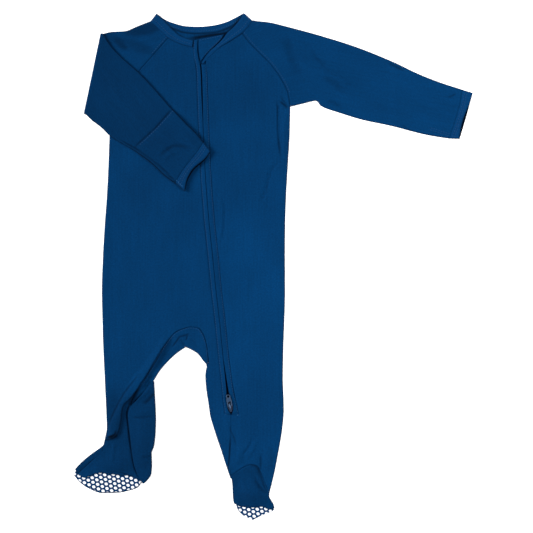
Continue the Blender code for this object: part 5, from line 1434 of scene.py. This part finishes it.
def sewing(thread, pale_thread):
    """All rows of stitches that show, and the cloth that each lies on."""
    heights = np.linspace(ZIP_TOP - 1, ZIP_END + 1.2, 60)
    low = [y for y in heights if y < GUARD_END - 2]
    seam = [row[2:] for row in CROTCH_RIGHT[:0:-1]] + [row[1:] for row in CROTCH_LEFT]
    gusset_rows = []
    for a, b, c, d in seam[2:]:
        share = GUSSET_STITCH_IN / math.hypot(c - a, d - b)
        gusset_rows.append((a + (c - a) * share, b + (d - b) * share))
    cuffs = [[between([(*a, *b) for a, b in zip(seam, mouth)], share) for share in CUFF_STITCH_AT]
             for seam, mouth in ((CUFF_SEAM_RIGHT, MOUTH_RIGHT), (CUFF_SEAM_LEFT, MOUTH_LEFT))]
    rows = {
        "zip_stitches_right": ([[(zip_x(y) - facing(y, 2) + ZIP_STITCH_IN, y) for y in heights]],
                               "placket_right"),
        "zip_stitches_left": ([[(zip_x(y) + facing(y, 3) - ZIP_STITCH_IN, y) for y in low]],
                              "placket_left"),
        "zip_box_stitches": ([[(zip_x(ZIP_END) + x, ZIP_END + y) for x, y in BOX_STITCHES]],
                             "front_right front_left"),
        "neck_stitches_right": ([between(NECKBAND_RIGHT, NECK_STITCH_AT)], "neckband_right"),
        "neck_stitches_left": ([between(NECKBAND_LEFT[:6], 1 - NECK_STITCH_AT)], "neckband_left"),
        "neck_stitches_back": ([between(NECKBAND_BACK, NECK_STITCH_AT)], "neckband_back"),
        "cuff_stitches_right": (cuffs[0], "cuff_right"),
        "cuff_stitches_left": (cuffs[1], "cuff_left"),
        "mitten_stitches": ([shifted(MITTEN_EDGE_RIGHT[:3], 1.5, -1.6)], "mitten_right"),
        "guard_stitches": (GUARD_STITCHES, "zip_guard"),
        "zip_end_stitch": (ZIP_END_STITCH, "front_left"),
        "raglan_stitches_right": ([shifted(RAGLAN_RIGHT[:3], -1.6, 1.4)], "sleeve_right"),
        "raglan_stitches_left": ([shifted(RAGLAN_LEFT[:7], 1.7, 1.2)], "sleeve_left"),
        "gusset_stitches": ([gusset_rows], "gusset"),
        "cuff_end_stitches": (CUFF_END_STITCHES, "sleeve_right cuff_right mitten_right"),
        "sleeve_end_stitches": (SLEEVE_END_STITCHES, "sleeve_left")}
    for name, (lines, lies_on) in rows.items():
        finish = pale_thread if name in PALE_STITCHES else thread
        stitches(name, lines, lies_on.split(), finish)


def zip_teeth(finish):
    """Coil of the closed zip, under its facings."""
    places = []
    for y in np.arange(GUARD_END - 1.0, TEETH_END, -TOOTH_PITCH):
        places.append((zip_x(y), y, 1.0, 0.0, (TOOTH_Z, TOOTH_Z + 0.15, TOOTH_Z)))
    capsules("zip_coil", places, TOOTH_HALF, TOOTH_RADIUS, TOOTH_FLAT, finish)


def flat_metal(name, outline, holes, thick, z, finish):
    """Flat metal part with rounded edges, from outlines in its own frame."""
    outlines = bpy.data.curves.new(name, "CURVE")
    outlines.dimensions, outlines.fill_mode = "2D", "BOTH"
    outlines.extrude = (thick / 2 - METAL_EDGE) * MM
    outlines.bevel_depth, outlines.offset = METAL_EDGE * MM, -METAL_EDGE * MM
    outlines.bevel_resolution = 3
    for points in (outline, *holes):
        spline = outlines.splines.new("POLY")
        spline.points.add(len(points) - 1)
        for target, point in zip(spline.points, points):
            target.co = (*placed(*point), 0, 1)
        spline.use_cyclic_u = True
    guide = new_object(name + "_outline", outlines)
    bpy.context.view_layer.update()
    mesh = bpy.data.meshes.new_from_object(guide.evaluated_get(
        bpy.context.evaluated_depsgraph_get()))
    bpy.data.objects.remove(guide)
    for vertex in mesh.vertices:
        vertex.co.z += z * MM
    mesh.materials.clear()
    mesh.materials.append(finish)
    return new_object(name, mesh)


def placed(x, y):
    """A point of the zip's metal parts, in metres in the scene."""
    turn, (px, py) = TAB_TILT, TAB_PLACE
    return ((px + x * math.cos(turn) - y * math.sin(turn)) * MM,
            (py + x * math.sin(turn) + y * math.cos(turn)) * MM)


def round_points(y, radius, start, end, count):
    """Points on an arc about a place on the zip's axis, angles in degrees."""
    turns = np.radians(np.linspace(start, end, count))
    return [(radius * math.cos(turn), y + radius * math.sin(turn)) for turn in turns]


def zip_metal(metal, lit_metal):
    """Slider with its crown, and the pull tab hooked under the crown."""
    low, high = (corner[2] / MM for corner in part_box("zip_slider"))
    tab_low, tab_high = (corner[2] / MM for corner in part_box("zip_pull"))
    outline = [*TAB_OUTLINE]
    outline += round_points(TAB_RING, TAB_RING_RADIUS, -25, 205, 18)
    outline += [(-x, y) for x, y in TAB_OUTLINE[:1:-1]]
    hole = round_points(TAB_RING, TAB_HOLE_RADIUS, 360, 20, 18)
    # The tab and the crown take the lighter copy of the zip's paint, painted light; the plate takes
    # the darker copy, painted shade.
    tab = flat_metal("pull_tab_metal", outline, (TAB_WINDOW, hole), tab_high - tab_low,
                     (tab_low + tab_high) / 2, lit_metal)
    dress(tab, ("zip_pull",), "pull_tab")
    plate = flat_metal("slider_metal", SLIDER_PLATE, (), PLATE_THICK, low + PLATE_THICK / 2,
                       metal)
    dress(plate, ("zip_slider",))
    crown_bar(low + CROWN_BASE, high, lit_metal)


def crown_bar(base, top, finish):
    """Rounded bar that arches over the pull tab's axis."""
    line, rings, around = curve(CROWN_LINE, 4), [], 14
    scale = (top - base - CROWN_THICK) / max(line[:, 1])
    for k, (y, rise) in enumerate(line):
        before, after = line[max(k - 1, 0)], line[min(k + 1, len(line) - 1)]
        way = (after - before) / np.linalg.norm(after - before)
        ends = min(1.0, 0.5 + 0.25 * min(k, len(line) - 1 - k))
        ring = []
        for turn in np.linspace(0, 2 * math.pi, around, endpoint=False):
            across, out = CROWN_HALF * ends * math.cos(turn), CROWN_THICK * ends * math.sin(turn)
            height = base + rise * scale - out * way[0]
            ring.append((*placed(across, y + out * way[1]), height * MM))
        rings.append(ring)
    faces = [(r * around + c, r * around + (c + 1) % around, (r + 1) * around + (c + 1) % around,
              (r + 1) * around + c) for r in range(len(rings) - 1) for c in range(around)]
    faces += [tuple(range(around))[::-1], tuple(range((len(rings) - 1) * around,
                                                      len(rings) * around))]
    mesh = new_mesh("slider_crown", [point for ring in rings for point in ring], faces, finish)
    dress(new_object("slider_crown", mesh), ("zip_slider",))


# ---- Surroundings --------------------------------------------------------------------------

def look_down():
    """Camera straight above the garment, as the photograph has it."""
    data = bpy.data.cameras.new("camera")
    data.sensor_width = 36.0
    data.lens = 36.0 * (CAMERA_HEIGHT - FOCUS_HEIGHT) / FRAME_WIDTH
    camera = new_object("camera", data)
    camera.location = (CAMERA_X, 0.0, CAMERA_HEIGHT)
    bpy.context.scene.camera = camera


def floor():
    """Plain pale surface under the garment."""
    mesh = bpy.data.meshes.new("floor")
    far = FLOOR_HALF
    mesh.from_pydata([(-far, -far, 0), (far, -far, 0), (far, far, 0), (-far, far, 0)], [],
                     [(0, 1, 2, 3)])
    made, _, shader = new_material("white_paper", 0.9)
    shader.inputs["Base Color"].default_value = (0.92, 0.92, 0.92, 1)
    shader.inputs["Emission Color"].default_value = (1, 1, 1, 1)
    shader.inputs["Emission Strength"].default_value = FLOOR_GLOW
    mesh.materials.append(made)
    ground = new_object("floor", mesh)
    ground.location.z = -FLOOR_DROP


def soft_light(name, place, size, watts):
    data = bpy.data.lights.new(name, "AREA")
    data.shape = "RECTANGLE"
    data.size, data.size_y = size
    data.energy = watts
    light = new_object(name, data)
    light.location = place
    light.rotation_euler = Vector(place).to_track_quat("Z", "Y").to_euler()


def lighting():
    """Even studio light: a pale sky and two soft boxes."""
    world = bpy.data.worlds.new("studio")
    world.use_nodes = True
    background = world.node_tree.nodes["Background"]
    background.inputs["Color"].default_value = (1, 1, 1, 1)
    background.inputs["Strength"].default_value = AMBIENT
    bpy.context.scene.world = world
    for name, place, size, watts in LAMPS:
        soft_light(name, place, size, watts)
    bpy.context.scene.view_settings.view_transform = "Standard"


# ---- The garment ---------------------------------------------------------------------------

SURFACES = {}          # outer surface of each cloth piece, for what lies on it
ACROSS_SLEEVE = stops(sum(SLEEVE_CELLS), start=True, end=True)


def build():
    """Makes the garment, then what is around it."""
    navy = jersey("navy_jersey_knit", NAVY)
    rib = jersey("navy_binding_rib", NAVY_RIB, RIB_PITCH, ribbed=True, bump=0.6)
    printed = printed_sole("printed_sole_jersey", NAVY, WHITE_PRINT)
    # Tape and coil darkened almost to black: painted shade in the slit.
    tape = woven_tape("navy_zip_tape", SHADOWED_TAPE)
    # The zip's paint in a darker copy for the plate, painted shade, and a lighter one for the tab
    # and the crown, painted light.
    metal = satin("shaded_zip_paint", SHADED_ZIP_BLUE, 0.15, 0.5, 0.3)
    back_body(navy)
    fronts(navy)
    gusset(navy)
    leg_back_right(navy)
    feet(navy, printed)
    sleeve_right(navy)
    mitten_right(navy)
    cuff("right", CUFF_SEAM_RIGHT, MOUTH_RIGHT, bed, MOUTH_RIGHT_OPEN, SHADE_CUFF, rib)
    sleeve_left(navy)
    mitten_left(navy)
    cuff("left", CUFF_SEAM_LEFT, MOUTH_LEFT, lambda x, y: 0 * x, MOUTH_LEFT_OPEN, 0.0, rib)
    neck(navy, rib)
    zip_strips(navy, tape)
    zip_teeth(tape)
    sewing(sewing_thread("navy_thread", THREAD), sewing_thread("pale_thread", PALE_THREAD))
    zip_metal(metal, satin("lit_zip_paint", LIT_ZIP_BLUE, 0.5, 0.36, 0.35))
    look_down()
    floor()
    lighting()


build()
